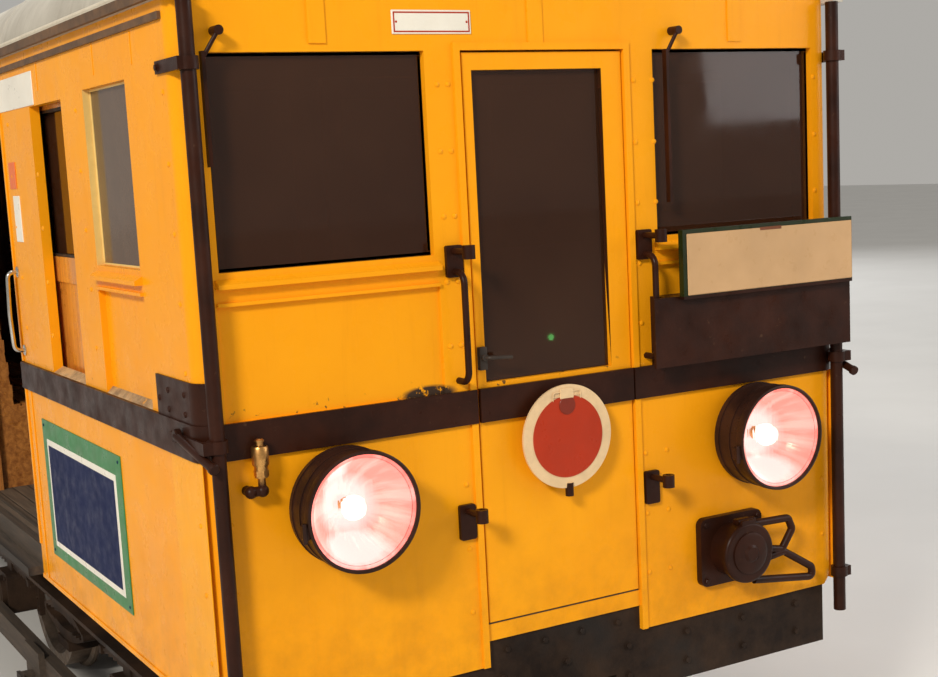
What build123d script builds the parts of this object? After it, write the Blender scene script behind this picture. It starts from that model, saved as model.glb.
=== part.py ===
"""Small-profile metro motor car of the 1920s, one car, in millimetres.

+X is forward, +Y is the car's left and +Z is up. The origin is below the middle of the car, at the
level of the wheel flange tips. Distances called s are measured inwards from an end wall's outer face.
"""
from build123d import *
import math
import os

# Overall sizes
BODY_LENGTH = 12700.0
BODY_WIDTH = 2300.0
FLANGE_DEPTH = 28.0
FLOOR_TOP = 978.0
FLOOR_THICKNESS = 45.0
PANEL_BOTTOM = 848.0
CANTRAIL_BOTTOM = 2733.0
CANTRAIL_TOP = 2848.0
ROOF_CROWN = 3170.0
ROOF_THICKNESS = 40.0
ROOF_SHOULDER_RADIUS = 240.0
ROOF_OVERHANG = 15.0
ROOF_END_OVERHANG = 45.0
CORNER_RADIUS = 60.0

# Walls: an outer skin, posts or a door pocket, and an inner lining
SKIN = 35.0
POCKET_GAP = 60.0
LINING = 30.0
END_WALL = 60.0
PANE = 8.0

# Side layout from an end towards the middle
CORNER_POST = 420.0
CAB_WINDOW_WIDTH = 440.0
CAB_PILLAR = 260.0
POCKET_WINDOW_WIDTH = 420.0
DOOR_POST = 460.0
DOORWAY_WIDTH = 1200.0
SALOON_PILLAR = 220.0
SALOON_WINDOWS = 3
WINDOW_PILLAR = 140.0
POCKET_DEPTH = 900.0

# Heights of windows, band and mouldings
WINDOW_SILL = 2121.0
SIDE_WINDOW_HEAD = 2666.0
POCKET_WINDOW_HEAD = 2654.0
END_WINDOW_HEAD = 2703.0
BAND_BOTTOM = 1610.0
BAND_HEIGHT = 102.0
BAND_THICKNESS = 12.0
LEDGE_HEIGHT = 26.0
LEDGE_DEPTH = 24.0
LEDGE_DROP = 17.0
MOULDING = 10.0
END_RECESS = 8.0
END_RECESS_TOP = 2030.0
SIDE_RECESS = 20.0
SIDE_RECESS_TOP = 2046.0
RECESS_WIDER = 12.0
SILL_RISE = 20.0
GUTTER_BOTTOM = 2796.0
GUTTER_HEIGHT = 20.0
GUTTER_OUT = 10.0

# Places worked out from the sizes above
HALF_LENGTH = BODY_LENGTH / 2
HALF_WIDTH = BODY_WIDTH / 2
FLOOR_BOTTOM = FLOOR_TOP - FLOOR_THICKNESS
BAND_TOP = BAND_BOTTOM + BAND_HEIGHT
POST_Y = HALF_WIDTH - SKIN
LINING_Y = POST_Y - POCKET_GAP
INNER_Y = LINING_Y - LINING
S_CAB_WINDOW = CORNER_POST
S_CAB_PILLAR = S_CAB_WINDOW + CAB_WINDOW_WIDTH
S_POCKET_WINDOW = S_CAB_PILLAR + CAB_PILLAR
S_POST = S_POCKET_WINDOW + POCKET_WINDOW_WIDTH
S_DOORWAY = S_POST + DOOR_POST
S_DOORWAY_END = S_DOORWAY + DOORWAY_WIDTH
S_INNER_POCKET_WINDOW = S_DOORWAY_END + DOOR_POST
S_SALOON = S_INNER_POCKET_WINDOW + POCKET_WINDOW_WIDTH + SALOON_PILLAR
S_POCKET = S_DOORWAY - POCKET_DEPTH
S_POCKET_END = S_DOORWAY_END + POCKET_DEPTH

# End wall and its mouldings
END_PILLAR = 84.0
END_WINDOW_INNER = 405.0
END_WINDOW_OUTER = HALF_WIDTH - END_PILLAR
END_DOORWAY_WIDTH = 580.0
END_DOORWAY_BOTTOM = 928.0
# Middle y of the gate brackets beside the doorway
BRACKET_Y = END_DOORWAY_WIDTH / 2 + 55
THRESHOLD_RISE = 2.0
END_CORNER_CUT = 60.0
DOOR_STRIP_WIDTH = 22.0
DOOR_STRIP = 8.0
COVER_STRIP_WIDTH = 52.0
COVER_STRIP = 5.0
# Middle y of each upright strip over the windows and the door
COVER_STRIPS = (-735.0, -26.0, 735.0)

# Hinged doors in the ends and in the partitions
END_DOOR_THICKNESS = 52.0
END_DOOR_FACE = HALF_LENGTH - 2
END_DOOR_HINGE_GAP = 6.0
END_DOOR_LOCK_GAP = 10.0
END_DOOR_LOCK_STILE = 30.0
END_DOOR_HINGE_STILE = 74.0
END_DOOR_TOP_RAIL = 50.0
END_DOOR_GLASS_SILL = 1727.0
HINGE_RADIUS = 10.0
HINGE_HEIGHT = 60.0
HINGE_ZS = (1150.0, 1850.0, 2560.0)
HINGE_LEAF = 40.0
HINGE_STRAP = 30.0
HINGE_CLEAR = 1.0
HINGE_SINK = 4.0
HINGE_Y = END_DOORWAY_WIDTH / 2 - 3

# Sliding leaves
LEAF_THICKNESS = 36.0
LEAF_MEETING_GAP = 6.0
LEAF_OVERLAP = 30.0
LEAF_TOP_ENGAGEMENT = 22.0
LEAF_TRAVEL = 845.0
LEAF_STILE = 90.0
LEAF_FOOT = 144.0
LEAF_RAIL_Z = 2127.0
LEAF_GLASS_HEAD = 2640.0
LEAF_PANEL_RECESS = 8.0
RUNNER_WIDTH = 12.0
RUNNER_HEIGHT = 12.0
RUNNER_END_GAP = 15.0
RUNNING_GAP = 0.3
DOOR_SIDE_GAP = 10.0
STEP_Z = 856.0
STEP_THICKNESS = 34.0
STEP_OUT = 55.0
STEP_END_GAP = 20.0

# Roof
VENT_COUNT = 6
VENT_SPACING = 1900.0
VENT_LENGTH = 620.0
VENT_WIDTH = 220.0
VENT_HEIGHT = 40.0
VENT_ROUND = 24.0
DRIP_RAIL = 14.0

# Corner poles and plates
POLE_RADIUS = 21.0
POLE_Y = HALF_WIDTH - 28
POLE_BOTTOM = 760.0
POLE_TOP = CANTRAIL_TOP
CLAMP_HEIGHT = 34.0
CLAMP_BAR = 8.0
POLE_X = HALF_LENGTH + BAND_THICKNESS + POLE_RADIUS + CLAMP_BAR + 1
# Clamp table: middle height, s of the bar's far end, distance of the bar from the side skin
CLAMPS = [(2673.0, 120.0, 0.0), (1661.0, 210.0, BAND_THICKNESS), (900.0, 120.0, 0.0)]
CORNER_PLATE_TOP = 1828.0
CORNER_PLATE_LENGTH = 340.0
CORNER_PLATE_TURN = 25.0
CORNER_PLATE = 6.0

# Headlights, around their own axis
LAMP_Y = HALF_WIDTH - 393
LAMP_Z = 1443.0
LAMP_DEPTH = 168.0
LAMP_RADIUS = 172.0
LAMP_LENS_RADIUS = 162.0
LAMP_NECK_RADIUS = 120.0
LAMP_NECK = 8.0
LAMP_BACK_ROUND = 22.0
LAMP_RIM_LENGTH = 22.0
LAMP_RIM_STEP = 4.0
LAMP_RIM = 9.0
LAMP_BOWL_DEPTH = 70.0
LAMP_BOWL_BACK = 24.0
LAMP_BOWL_EDGE = 116.0
LAMP_BOWL_FLOOR = 60.0
LENS_SEAT = 14.0
LENS_THICKNESS = 8.0
LENS_BULGE = 14.0

# Signal disc on the front door
DISC_Z = 1536.0
DISC_RADIUS = 161.0
DISC_THICKNESS = 8.0
DISC_STANDOFF = 34.0
DISC_CENTRE_RADIUS = 127.0
DISC_CENTRE_RISE = 2.0
DISC_HOOK_HALF = 26.0
DISC_HOOK_Z = 1655.0
DISC_HOOK_HEIGHT = 30.0
PEG_RADIUS = 13.0
PEG_RISE = 16.0
PEG_TAIL = 26.0

# Destination board and its holder
BOARD_EDGE = 16.0
BOARD_INNER = BRACKET_Y + 73
BOARD_WIDTH = HALF_WIDTH - BOARD_EDGE - BOARD_INNER
BOARD_HEIGHT = 208.0
BOARD_THICKNESS = 22.0
BOARD_CENTRE_Y = BOARD_INNER + BOARD_WIDTH / 2
BOARD_BOTTOM = 1932.0
HOLDER_DEPTH = 88.0
HOLDER_CLEAR = 12.0
HOLDER_REACH = 10.0
HOLDER_SHEET = 10.0

# Gate brackets and grab rails beside the end doors
# Gate bracket table: bottom and height of the wall plate, height of the eye's middle
BRACKETS = [(2052.0, 94.0, 2128.0), (1262.0, 108.0, 1350.0)]
BRACKET_WIDTH = 54.0
BRACKET_PLATE = 14.0
ARM_LENGTH = 96.0
ARM_RADIUS = 10.0
EYE_RADIUS = 19.0
EYE_HOLE_RADIUS = 9.0
EYE_HEIGHT = 40.0
RAIL_RADIUS = 10.0
RAIL_BOTTOM = 1745.0
RAIL_RISE = 16.0
RAIL_BEND = 34.0
RAIL_X = HALF_LENGTH + 62

# Air cock
COCK_Y = 150.0 - HALF_WIDTH
COCK_X = HALF_LENGTH + BAND_THICKNESS + 22
COCK_TOP = 1662.0
COCK_BOTTOM = 1520.0
COCK_SIDE = 34.0
COCK_STEM = 11.0
COCK_BARREL = 19.0
COCK_BARREL_RISE = 38.0
COCK_BARREL_HEIGHT = 84.0
COCK_ELBOW = 18.0
COCK_PIPE = 14.0

# Jumper socket
SOCKET_Y = HALF_WIDTH - 495
SOCKET_Z = 1062.0
SOCKET_WIDTH = 262.0
SOCKET_HEIGHT = 232.0
SOCKET_PLATE = 26.0
SOCKET_ROUND = 26.0
SOCKET_BODY_RADIUS = 92.0
SOCKET_DEPTH = 96.0
SOCKET_LID_RADIUS = 102.0
SOCKET_LID = 22.0
HANDLE_RADIUS = 13.0
# Path of each handle, as y and z from the socket's middle
HANDLES = [
    [(40.0, 84.0), (205.0, 78.0), (222.0, 38.0), (176.0, -26.0), (50.0, 0.0)],
    [(50.0, -52.0), (182.0, -34.0), (306.0, -110.0), (312.0, -146.0), (50.0, -110.0)],
]
HANDLE_BEND = 15.0

# Wiper table: pivot y, blade y, blade top and blade bottom
WIPERS = [(119.0 - HALF_WIDTH, 74.0 - HALF_WIDTH, 2704.0, 2404.0), (480.0, 438.0, 2700.0, 2226.0)]
WIPER_PIVOT_Z = 2757.0
WIPER_BOSS = 13.0
WIPER_BOSS_OUT = 44.0
WIPER_ARM = 6.0
WIPER_ARM_OUT = 36.0
WIPER_BLADE = 10.0
WIPER_BLADE_DEPTH = 20.0

# Inside
PARTITION_S = 980.0
PARTITION = 40.0
CAB_DOOR_WIDTH = 580.0
CAB_DOOR_HEAD = 2700.0
CAB_DOOR_THICKNESS = 34.0
CAB_DOOR_INSET = 3.0
CAB_DOOR_STILE = 70.0
# Partition window: inner y, outer y, sill, head
PARTITION_WINDOW = (400.0, 960.0, 2060.0, 2660.0)
DESK_DEPTH = 300.0
DESK_WIDTH = 460.0
DESK_TOP = 1960.0
DESK_WALL_GAP = 6.0
DESK_SIDE_GAP = 60.0
DESK_ROUND = 60.0
HUB_RADIUS = 60.0
HUB_HEIGHT = 40.0
CRANK_WIDTH = 24.0
CRANK_THICKNESS = 18.0
CRANK_REACH = 150.0
CRANK_TAIL = 20.0
KNOB_RADIUS = 18.0
KNOB_HEIGHT = 60.0
SEAT_HEIGHT = 430.0
SEAT_DEPTH = 450.0
SEAT_DROP = 50.0
BENCH_BACK_TOP = 1890.0
BENCH_BACK_FOOT = 90.0
BENCH_BACK_HEAD = 45.0
BENCH_FOOT_SETBACK = 60.0
SLAT = 16.0
SLAT_WIDTH = 58.0
SEAT_SLATS = 6
BACK_SLATS = 5
BENCH_SUPPORT = 24.0
BENCH_SUPPORT_EVERY = 2000.0
BENCH_CLEAR = 30.0
GRAB_RADIUS = 16.0
GRAB_CLEAR = 25.0
GRAB_Y = INNER_Y - SEAT_DEPTH - GRAB_CLEAR
GRAB_INSET = 40.0
STRAP_RAIL_Z = 2760.0
# Handles beside the doorways inside: lower and upper fixing, distance from the doorway, stand-off
HANDLE_ZS = (1980.0, 2400.0)
HANDLE_SETBACK = 70.0
HANDLE_OUT = 70.0
HANDLE_CORNER = 45.0
DOOR_HANDLE_RADIUS = 11.0

# Underframe
SOLE_BAR_HEIGHT = 200.0
SOLE_BAR_WIDTH = 70.0
SOLE_BAR_WEB = 14.0
SOLE_BAR_FLANGE = 16.0
CENTRE_SILL_Y = 200.0
CENTRE_SILL_WIDTH = 80.0
BEARER_HEIGHT = 50.0
BEARER_WIDTH = 120.0
BOLSTER_HALF = 150.0
END_BEARER_S = 700.0
HEADSTOCK_BOTTOM = 640.0
HEADSTOCK_DEPTH = 100.0
HEADSTOCK_SETBACK = 10.0
HEADSTOCK_HALF = HALF_WIDTH - CORNER_RADIUS
COUPLER_NOTCH = 190.0
NOTCH_CLEAR = 12.0
CENTRE_PLATE = 26.0
CENTRE_PLATE_RADIUS = 150.0
UNDERFRAME_BOTTOM = FLOOR_BOTTOM - SOLE_BAR_HEIGHT

# Couplers
COUPLER_Z = 640.0
COUPLER_PIVOT_S = 420.0
COUPLER_REACH = 330.0
PIN_HOLE_RADIUS = 22.5
PIN_HOLE_SHARE = 0.3
COUPLER_PIN = 22.0
PIN_TAIL = 8.0
COUPLER_EYE = 52.0
SHANK_RADIUS = 40.0
HEAD_WIDTH = 230.0
HEAD_HEIGHT = 170.0
HEAD_LENGTH = 210.0
HEAD_ROUND = 34.0
JAW_GAP = 62.0
JAW_SHARE = 0.62
YOKE_HALF = 95.0
YOKE_PLATE = 20.0
YOKE_GAP = 60.0
YOKE_BACK = 60.0
YOKE_WEB = 16.0
YOKE_WING = 100.0

# Cases and air tanks under the floor
CASE_DROP = 30.0
CASE_ROUND = 20.0
CASE_RIBS = 5
CASE_RIB_WIDTH = 24.0
CASE_RIB = 8.0
CASE_RAIL_INSET = 40.0
RESERVOIR_Z = 560.0
STRAP_INSET = 200.0
STRAP_WIDTH = 40.0
STRAP = 6.0
HANGER_HALF = 30.0
HANGER_PLATE = 16.0

# Bogies and wheels
BOGIE_INSET = 2450.0
BOGIE_CENTRE = HALF_LENGTH - BOGIE_INSET
WHEELBASE = 1900.0
TREAD_RADIUS = 415.0
WHEEL_BACK = 680.0
TYRE_WIDTH = 130.0
TYRE_DEPTH = 62.0
WEB_INNER = 56.0
WEB_OUTER = 84.0
WEB_HUB = 150.0
HUB = 125.0
AXLE_RADIUS = 75.0
JOURNAL_RADIUS = 55.0
JOURNAL_END = 1010.0
HUB_PROUD = 10.0
WEB_FLARE = 16.0
RIM_FLARE = 23.0
TREAD_CONE = 3.0
# Flange profile: drop from the flange tip, distance outwards from the wheel's back
FLANGE_PROFILE = [(8.0, 0.0), (0.0, 12.0), (6.0, 24.0), (FLANGE_DEPTH, 34.0)]
AXLE_Z = TREAD_RADIUS + FLANGE_DEPTH
FLANGE_RADIUS = TREAD_RADIUS + FLANGE_DEPTH
WHEEL_OUTER = WHEEL_BACK + TYRE_WIDTH
SIDE_PLATE_Y = 880.0
SIDE_PLATE = 26.0
AXLE_BOX_HALF = 100.0
AXLE_BOX_OUT = 1035.0
AXLE_BOX_IN = 12.0
AXLE_BOX_ROUND = 26.0
AXLE_BOX_CAP = 22.0
AXLE_BOX_CAP_RADIUS = 78.0
HORN_GAP = 4.0
HORN_GUIDE_HEIGHT = 150.0
HORN_CHEEK = 70.0
HORN_BOTTOM = 330.0
PLATE_TOP = 690.0
PLATE_ARM_TOP = 645.0
PLATE_ARM_BOTTOM = 500.0
HORN_TOP = 555.0
PLATE_MIDDLE_BOTTOM = 470.0
PLATE_END = 1240.0
# Distances from the axle: foot and head of the slope to the arm, and the belly's end
PLATE_SLOPE_FOOT = 520.0
PLATE_SLOPE_HEAD = 390.0
PLATE_BELLY_END = 530.0
# Cut corner of the arm's end: along the arm, down, and the height of the end's foot below the arm's top
PLATE_END_CUT = 60.0
PLATE_END_DROP = 45.0
PLATE_END_FOOT = 95.0
HORN_TAPER = 20.0
PLATE_SLOT = (420.0, 110.0)
PLATE_HOLE_X = 540.0
PLATE_HOLE_RADIUS = 38.0
TRANSOM_X = 270.0
TRANSOM_WIDTH = 80.0
TRANSOM_BOTTOM = 480.0
TRANSOM_TOP = 650.0
TRANSOM_END = 4.0
BOLSTER_TOP = UNDERFRAME_BOTTOM - CENTRE_PLATE - RUNNING_GAP
BOLSTER_HEIGHT = 70.0
BOLSTER_GAP = 10.0
BOLSTER_SEAT_HALF = 300.0
BOLSTER_SEAT_BOTTOM = 600.0
LEAF_COUNT = 5
LEAF_LENGTH = 760.0
SPRING_LEAF = 11.0
SPRING_WIDTH = 70.0
SPRING_CAMBER = 70.0
SPRING_OUT = 12.0
SPRING_SEAT = 18.0
BUCKLE_HALF = 45.0
BUCKLE_WALL = 8.0
HANGER_SETBACK = 24.0
HANGER_WIDTH = 32.0
HANGER_HEIGHT = 32.0
BOLSTER_SPRING_LENGTH = 620.0
BOLSTER_SPRING_CAMBER = 62.0
BOLSTER_SPRING_Z = 520.0
BOLSTER_SPRING_LEAVES = 4
SPRING_EYE = 17.0
BOLSTER_END_HALF = 70.0
PLANK_HALF = 90.0
PLANK_HEIGHT = 40.0
SHOE_GAP = 9.0
SHOE_THICKNESS = 44.0
SHOE_WIDTH = 76.0
SHOE_SPREAD = 190.0
SHOE_SPREAD_AT = 600.0
BRAKE_HANGER = 28.0
BRAKE_HANGER_TOP = 600.0
BRAKE_TUBE_Z = 590.0
BRAKE_TUBE = 16.0

# Motor and current collectors
MOTOR_RADIUS = 205.0
MOTOR_ROUND = 90.0
MOTOR_LENGTH = 640.0
MOTOR_X = -560.0
MOTOR_Z = 478.0
MOTOR_NOSE = (90.0, 520.0, 620.0)
BEAM_WIDTH = 50.0
BEAM_HEIGHT = 110.0
BEAM_Z = 300.0
BEAM_HALF = 1060.0
BEAM_STRAP_HALF = 34.0
BEAM_STRAP = 16.0
BEAM_STRAP_RISE = 60.0
SHOE_REACH = 1245.0
COLLECTOR_HEAD = (240.0, 26.0, 160.0)
COLLECTOR_SHOE = (220.0, 18.0)
COLLECTOR_ARM = (52.0, 30.0)
COLLECTOR_LINK = (80.0, 15.0)
COLLECTOR_DROP = 62.0

# Cross bearers between the bogies, and the places of the gear that hangs there
BEARER_CLEAR = 257.0
BEARER_REACH = BOGIE_CENTRE - WHEELBASE / 2 - FLANGE_RADIUS - BEARER_CLEAR
MIDDLE_BEARERS = (BEARER_REACH, BEARER_REACH / 3, -BEARER_REACH / 3, -BEARER_REACH)
# Case table: first x, last x, y of both sides, bottom z
UNDERFLOOR_BOXES = [
    (350.0, BEARER_REACH - 300, -1030.0, -480.0, 400.0),
    (350.0 - BEARER_REACH, -300.0, -1030.0, -520.0, 380.0),
    (500.0, BEARER_REACH - 750, 480.0, 1020.0, 390.0),
]
# Air tank table: distance of its ends from the bearers beside it, y, radius
RESERVOIRS = [(100.0, 800.0, 150.0), (150.0, 330.0, 120.0)]

CUT = 1.0


def block(x0, x1, y0, y1, z0, z1):
    """A box between two corners, in any order."""
    size = (abs(x1 - x0), abs(y1 - y0), abs(z1 - z0))
    return Pos((x0 + x1) / 2, (y0 + y1) / 2, (z0 + z1) / 2) * Box(*size)


def rod(start, end, radius):
    """A round bar between two points."""
    a, b = Vector(*start), Vector(*end)
    plane = Plane(origin=a, z_dir=b - a)
    return extrude(plane * Circle(radius), (b - a).length)


def group(shapes):
    """Separate solids that make one node."""
    solids = []
    for shape in shapes:
        solids.extend(shape.solids())
    return Compound(children=solids)


def both_sides(shape):
    """A shape on the right side with its mirror image on the left."""
    return [shape, mirror(shape, about=Plane.XZ)]


def both_ends(shape):
    """A shape at the front with the same at the rear, turned half round."""
    return [shape, Rot(0, 0, 180) * shape]


def at_s(s):
    """X of a place s inwards from the front end wall."""
    return HALF_LENGTH - s


def roof_arc(inset):
    """Half width, shoulder radius, crown radius, centre depth and half angle of the roof's section."""
    half = HALF_WIDTH + ROOF_OVERHANG - inset
    shoulder = ROOF_SHOULDER_RADIUS - inset
    rise = ROOF_CROWN - inset - CANTRAIL_TOP
    run = half - shoulder
    depth = (run ** 2 - (rise - shoulder) ** 2) / (2 * (rise - shoulder))
    return half, shoulder, rise + depth, depth, math.atan2(run, depth)


def roof_face(inset, drop):
    """The roof's section across the car, its outline moved in by inset and down to drop below its foot."""
    half, shoulder, radius, depth, lean = roof_arc(inset)
    join_y = radius * math.sin(lean)
    join_z = CANTRAIL_TOP - depth + radius * math.cos(lean)
    middle = (math.radians(90) + lean) / 2
    mid_y = half - shoulder + shoulder * math.sin(middle)
    mid_z = CANTRAIL_TOP + shoulder * math.cos(middle)
    left = ThreePointArc((-half, CANTRAIL_TOP), (-mid_y, mid_z), (-join_y, join_z))
    top = ThreePointArc((-join_y, join_z), (0, ROOF_CROWN - inset), (join_y, join_z))
    right = ThreePointArc((join_y, join_z), (mid_y, mid_z), (half, CANTRAIL_TOP))
    foot = Polyline((half, CANTRAIL_TOP), (half, drop), (-half, drop), (-half, CANTRAIL_TOP))
    return Plane.YZ * make_face(left + top + right + foot)


def roof_underside(y):
    """Height of the ceiling at a distance from the middle, under the crown."""
    half, shoulder, radius, depth, lean = roof_arc(ROOF_THICKNESS)
    return CANTRAIL_TOP - depth + math.sqrt(radius ** 2 - y ** 2)


def plan_face(outset):
    """The body's outline seen from above, with round corners, moved out by outset."""
    return RectangleRounded(BODY_LENGTH + 2 * outset, BODY_WIDTH + 2 * outset, CORNER_RADIUS + outset)


def shell_ring(outset, z0, z1):
    """A band that lies on the body's outline between two heights."""
    outer = extrude(plan_face(outset), z1 - z0)
    inner = extrude(plan_face(0), z1 - z0)
    return Pos(0, 0, z0) * (outer - inner)


def saloon_windows():
    """First x and width of each large window in the middle of a side."""
    clear = BODY_LENGTH - 2 * S_SALOON
    width = (clear - (SALOON_WINDOWS - 1) * WINDOW_PILLAR) / SALOON_WINDOWS
    step = width + WINDOW_PILLAR
    return [(-clear / 2 + i * step, width) for i in range(SALOON_WINDOWS)]


def glazed_spans():
    """First x, last x, sill and head of every glazed window on one side."""
    spans = []
    near, far = at_s(S_CAB_PILLAR), at_s(S_CAB_WINDOW)
    for a, b in ((near, far), (-far, -near)):
        spans.append((a, b, WINDOW_SILL, SIDE_WINDOW_HEAD))
    for x, width in saloon_windows():
        spans.append((x, x + width, WINDOW_SILL, SIDE_WINDOW_HEAD))
    return spans


def pocket_spans():
    """First x and last x of the openings in the skin over the door pockets on one side."""
    spans = []
    for s in (S_POCKET_WINDOW, S_INNER_POCKET_WINDOW):
        spans.append((at_s(s + POCKET_WINDOW_WIDTH), at_s(s)))
        spans.append((-at_s(s), -at_s(s + POCKET_WINDOW_WIDTH)))
    return spans


def doorway_spans():
    """First x and last x of the doorways on one side, the front one first."""
    return [(at_s(S_DOORWAY_END), at_s(S_DOORWAY)), (-at_s(S_DOORWAY), -at_s(S_DOORWAY_END))]


def skin_spans():
    """First x and last x of the wall between corners and doorways."""
    front = (at_s(S_DOORWAY), at_s(CORNER_RADIUS))
    return [front, (-at_s(S_DOORWAY_END), at_s(S_DOORWAY_END)), (-front[1], -front[0])]


def post_spans():
    """First x and last x of the wall filling beside the door pockets."""
    front = (at_s(S_POCKET), at_s(CORNER_RADIUS))
    return [front, (-at_s(S_POCKET_END), at_s(S_POCKET_END)), (-front[1], -front[0])]


def side_wall():
    """The right side's outer skin, in three pieces between the doorways."""
    pieces = []
    for x0, x1 in skin_spans():
        wall = block(x0, x1, -POST_Y, -HALF_WIDTH, PANEL_BOTTOM, CANTRAIL_BOTTOM)
        for a, b, sill, head in glazed_spans():
            if x0 < a < x1:
                wall -= block(a, b, -POST_Y + CUT, -HALF_WIDTH - CUT, sill, head)
                wide_a, wide_b = a - RECESS_WIDER, b + RECESS_WIDER
                wall -= block(wide_a, wide_b, -HALF_WIDTH + SIDE_RECESS, -HALF_WIDTH - CUT,
                              BAND_TOP, SIDE_RECESS_TOP)
                wall += side_ledge(wide_a, wide_b) + side_sill(wide_a, wide_b, SIDE_RECESS)
        for a, b in pocket_spans():
            if x0 < a < x1:
                wall -= block(a, b, -POST_Y + CUT, -HALF_WIDTH - CUT, BAND_TOP, POCKET_WINDOW_HEAD)
                wall += side_sill(a, b, SKIN)
        pieces.append(wall)
    return group(pieces)


def side_sill(x0, x1, depth):
    """The sloping sill at the foot of a recess in the right side."""
    outline = Polyline((-HALF_WIDTH, BAND_TOP), (-HALF_WIDTH + depth, BAND_TOP + SILL_RISE),
                       (-HALF_WIDTH + depth, BAND_TOP), close=True)
    return Pos(x0, 0, 0) * extrude(Plane.YZ * make_face(outline), x1 - x0)


def side_ledge(x0, x1):
    """The sloping ledge under a side window and the thin moulding below it."""
    top = WINDOW_SILL - LEDGE_DROP
    out = -HALF_WIDTH - LEDGE_DEPTH
    outline = Polyline((-HALF_WIDTH, top), (out, top - LEDGE_HEIGHT / 2), (out, top - LEDGE_HEIGHT),
                       (-HALF_WIDTH, top - LEDGE_HEIGHT), close=True)
    ledge = Pos(x0, 0, 0) * extrude(Plane.YZ * make_face(outline), x1 - x0)
    strip = block(x0, x1, -HALF_WIDTH, -HALF_WIDTH - MOULDING, SIDE_RECESS_TOP, SIDE_RECESS_TOP + MOULDING)
    return ledge + strip


def wall_posts():
    """The filling between skin and lining beside the pockets, right side."""
    pieces = []
    for x0, x1 in post_spans():
        post = block(x0, x1, -LINING_Y, -POST_Y, FLOOR_TOP, CANTRAIL_BOTTOM)
        for a, b, sill, head in glazed_spans():
            if x0 < a < x1:
                post -= block(a, b, -LINING_Y + CUT, -POST_Y - CUT, sill, head)
        pieces.append(post)
    return group(pieces)


def wall_linings():
    """The inner lining of the right side, with windows at the pockets too."""
    pieces = []
    for x0, x1 in skin_spans():
        lining = block(x0, x1, -INNER_Y, -LINING_Y, FLOOR_TOP, CANTRAIL_BOTTOM)
        windows = glazed_spans() + [(a, b, LEAF_RAIL_Z, LEAF_GLASS_HEAD) for a, b in pocket_spans()]
        for a, b, sill, head in windows:
            if x0 < a < x1:
                lining -= block(a, b, -INNER_Y + CUT, -LINING_Y - CUT, sill, head)
        pieces.append(lining)
    return group(pieces)


def cantrail():
    """The rail over the doors on the right side, grooved for the leaves, with a gutter moulding."""
    end = at_s(CORNER_RADIUS)
    rail = block(-end, end, -INNER_Y, -HALF_WIDTH, CANTRAIL_BOTTOM, CANTRAIL_TOP)
    rail += block(-end, end, -HALF_WIDTH, -HALF_WIDTH - GUTTER_OUT, GUTTER_BOTTOM,
                  GUTTER_BOTTOM + GUTTER_HEIGHT)
    groove_top = CANTRAIL_BOTTOM + LEAF_TOP_ENGAGEMENT + DOOR_SIDE_GAP
    for side in (1, -1):
        rail -= block(side * at_s(S_POCKET), side * at_s(S_POCKET_END), -LINING_Y, -POST_Y,
                      CANTRAIL_BOTTOM, groove_top)
    return rail


def glass():
    """The fixed panes: cab, saloon and pocket windows on both sides, and the end windows."""
    middle = (LINING_Y + POST_Y) / 2
    lining_middle = (INNER_Y + LINING_Y) / 2
    panes = []
    for a, b, sill, head in glazed_spans():
        panes += both_sides(block(a, b, -middle - PANE / 2, -middle + PANE / 2, sill, head))
    for a, b in pocket_spans():
        panes += both_sides(block(a, b, -lining_middle - PANE / 2, -lining_middle + PANE / 2,
                                  LEAF_RAIL_Z, LEAF_GLASS_HEAD))
    x = HALF_LENGTH - END_WALL / 2
    end = block(x, x + PANE, END_WINDOW_INNER, END_WINDOW_OUTER, WINDOW_SILL, END_WINDOW_HEAD)
    for pane in both_sides(end):
        panes += both_ends(pane)
    return group(panes)


def end_wall():
    """The front end wall with round corners, a doorway, two windows, ledges and recessed panels."""
    outer = extrude(plan_face(0), ROOF_CROWN)
    inner = extrude(Rectangle(BODY_LENGTH - 2 * END_WALL, BODY_WIDTH - 2 * END_WALL), ROOF_CROWN)
    wall = (outer - inner) & block(at_s(CORNER_RADIUS), HALF_LENGTH, -HALF_WIDTH, HALF_WIDTH,
                                   PANEL_BOTTOM, ROOF_CROWN)
    under_roof = extrude(roof_face(ROOF_THICKNESS, PANEL_BOTTOM), HALF_LENGTH + COVER_STRIP)
    full_width = block(0, HALF_LENGTH, -HALF_WIDTH, HALF_WIDTH, PANEL_BOTTOM, CANTRAIL_TOP)
    wall = wall & (under_roof + full_width)
    half = END_DOORWAY_WIDTH / 2
    wall -= block(0, HALF_LENGTH, -half, half, PANEL_BOTTOM, END_WINDOW_HEAD)
    wall += block(HALF_LENGTH - END_WALL, END_DOOR_FACE, -half, half, END_DOORWAY_BOTTOM,
                  FLOOR_TOP + THRESHOLD_RISE)
    x_out = HALF_LENGTH + CUT
    for side in (-1, 1):
        inner_y, outer_y = side * END_WINDOW_INNER, side * END_WINDOW_OUTER
        wall -= block(HALF_LENGTH - END_WALL, x_out, inner_y, outer_y, WINDOW_SILL, END_WINDOW_HEAD)
        wide_in, wide_out = inner_y - side * RECESS_WIDER, outer_y + side * RECESS_WIDER
        wall -= block(HALF_LENGTH - END_RECESS, x_out, wide_in, wide_out, BAND_TOP, END_RECESS_TOP)
        wall += end_ledge(wide_in, wide_out)
        notch = Plane.YZ * make_face(Polyline(
            (side * HALF_WIDTH, PANEL_BOTTOM), (side * HALF_WIDTH, PANEL_BOTTOM + END_CORNER_CUT),
            (side * (HALF_WIDTH - END_CORNER_CUT), PANEL_BOTTOM), close=True))
        wall -= extrude(notch, HALF_LENGTH)
    for strip in end_strips():
        wall += strip & under_roof
    for strip in door_strips():
        wall += strip
    return wall


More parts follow.
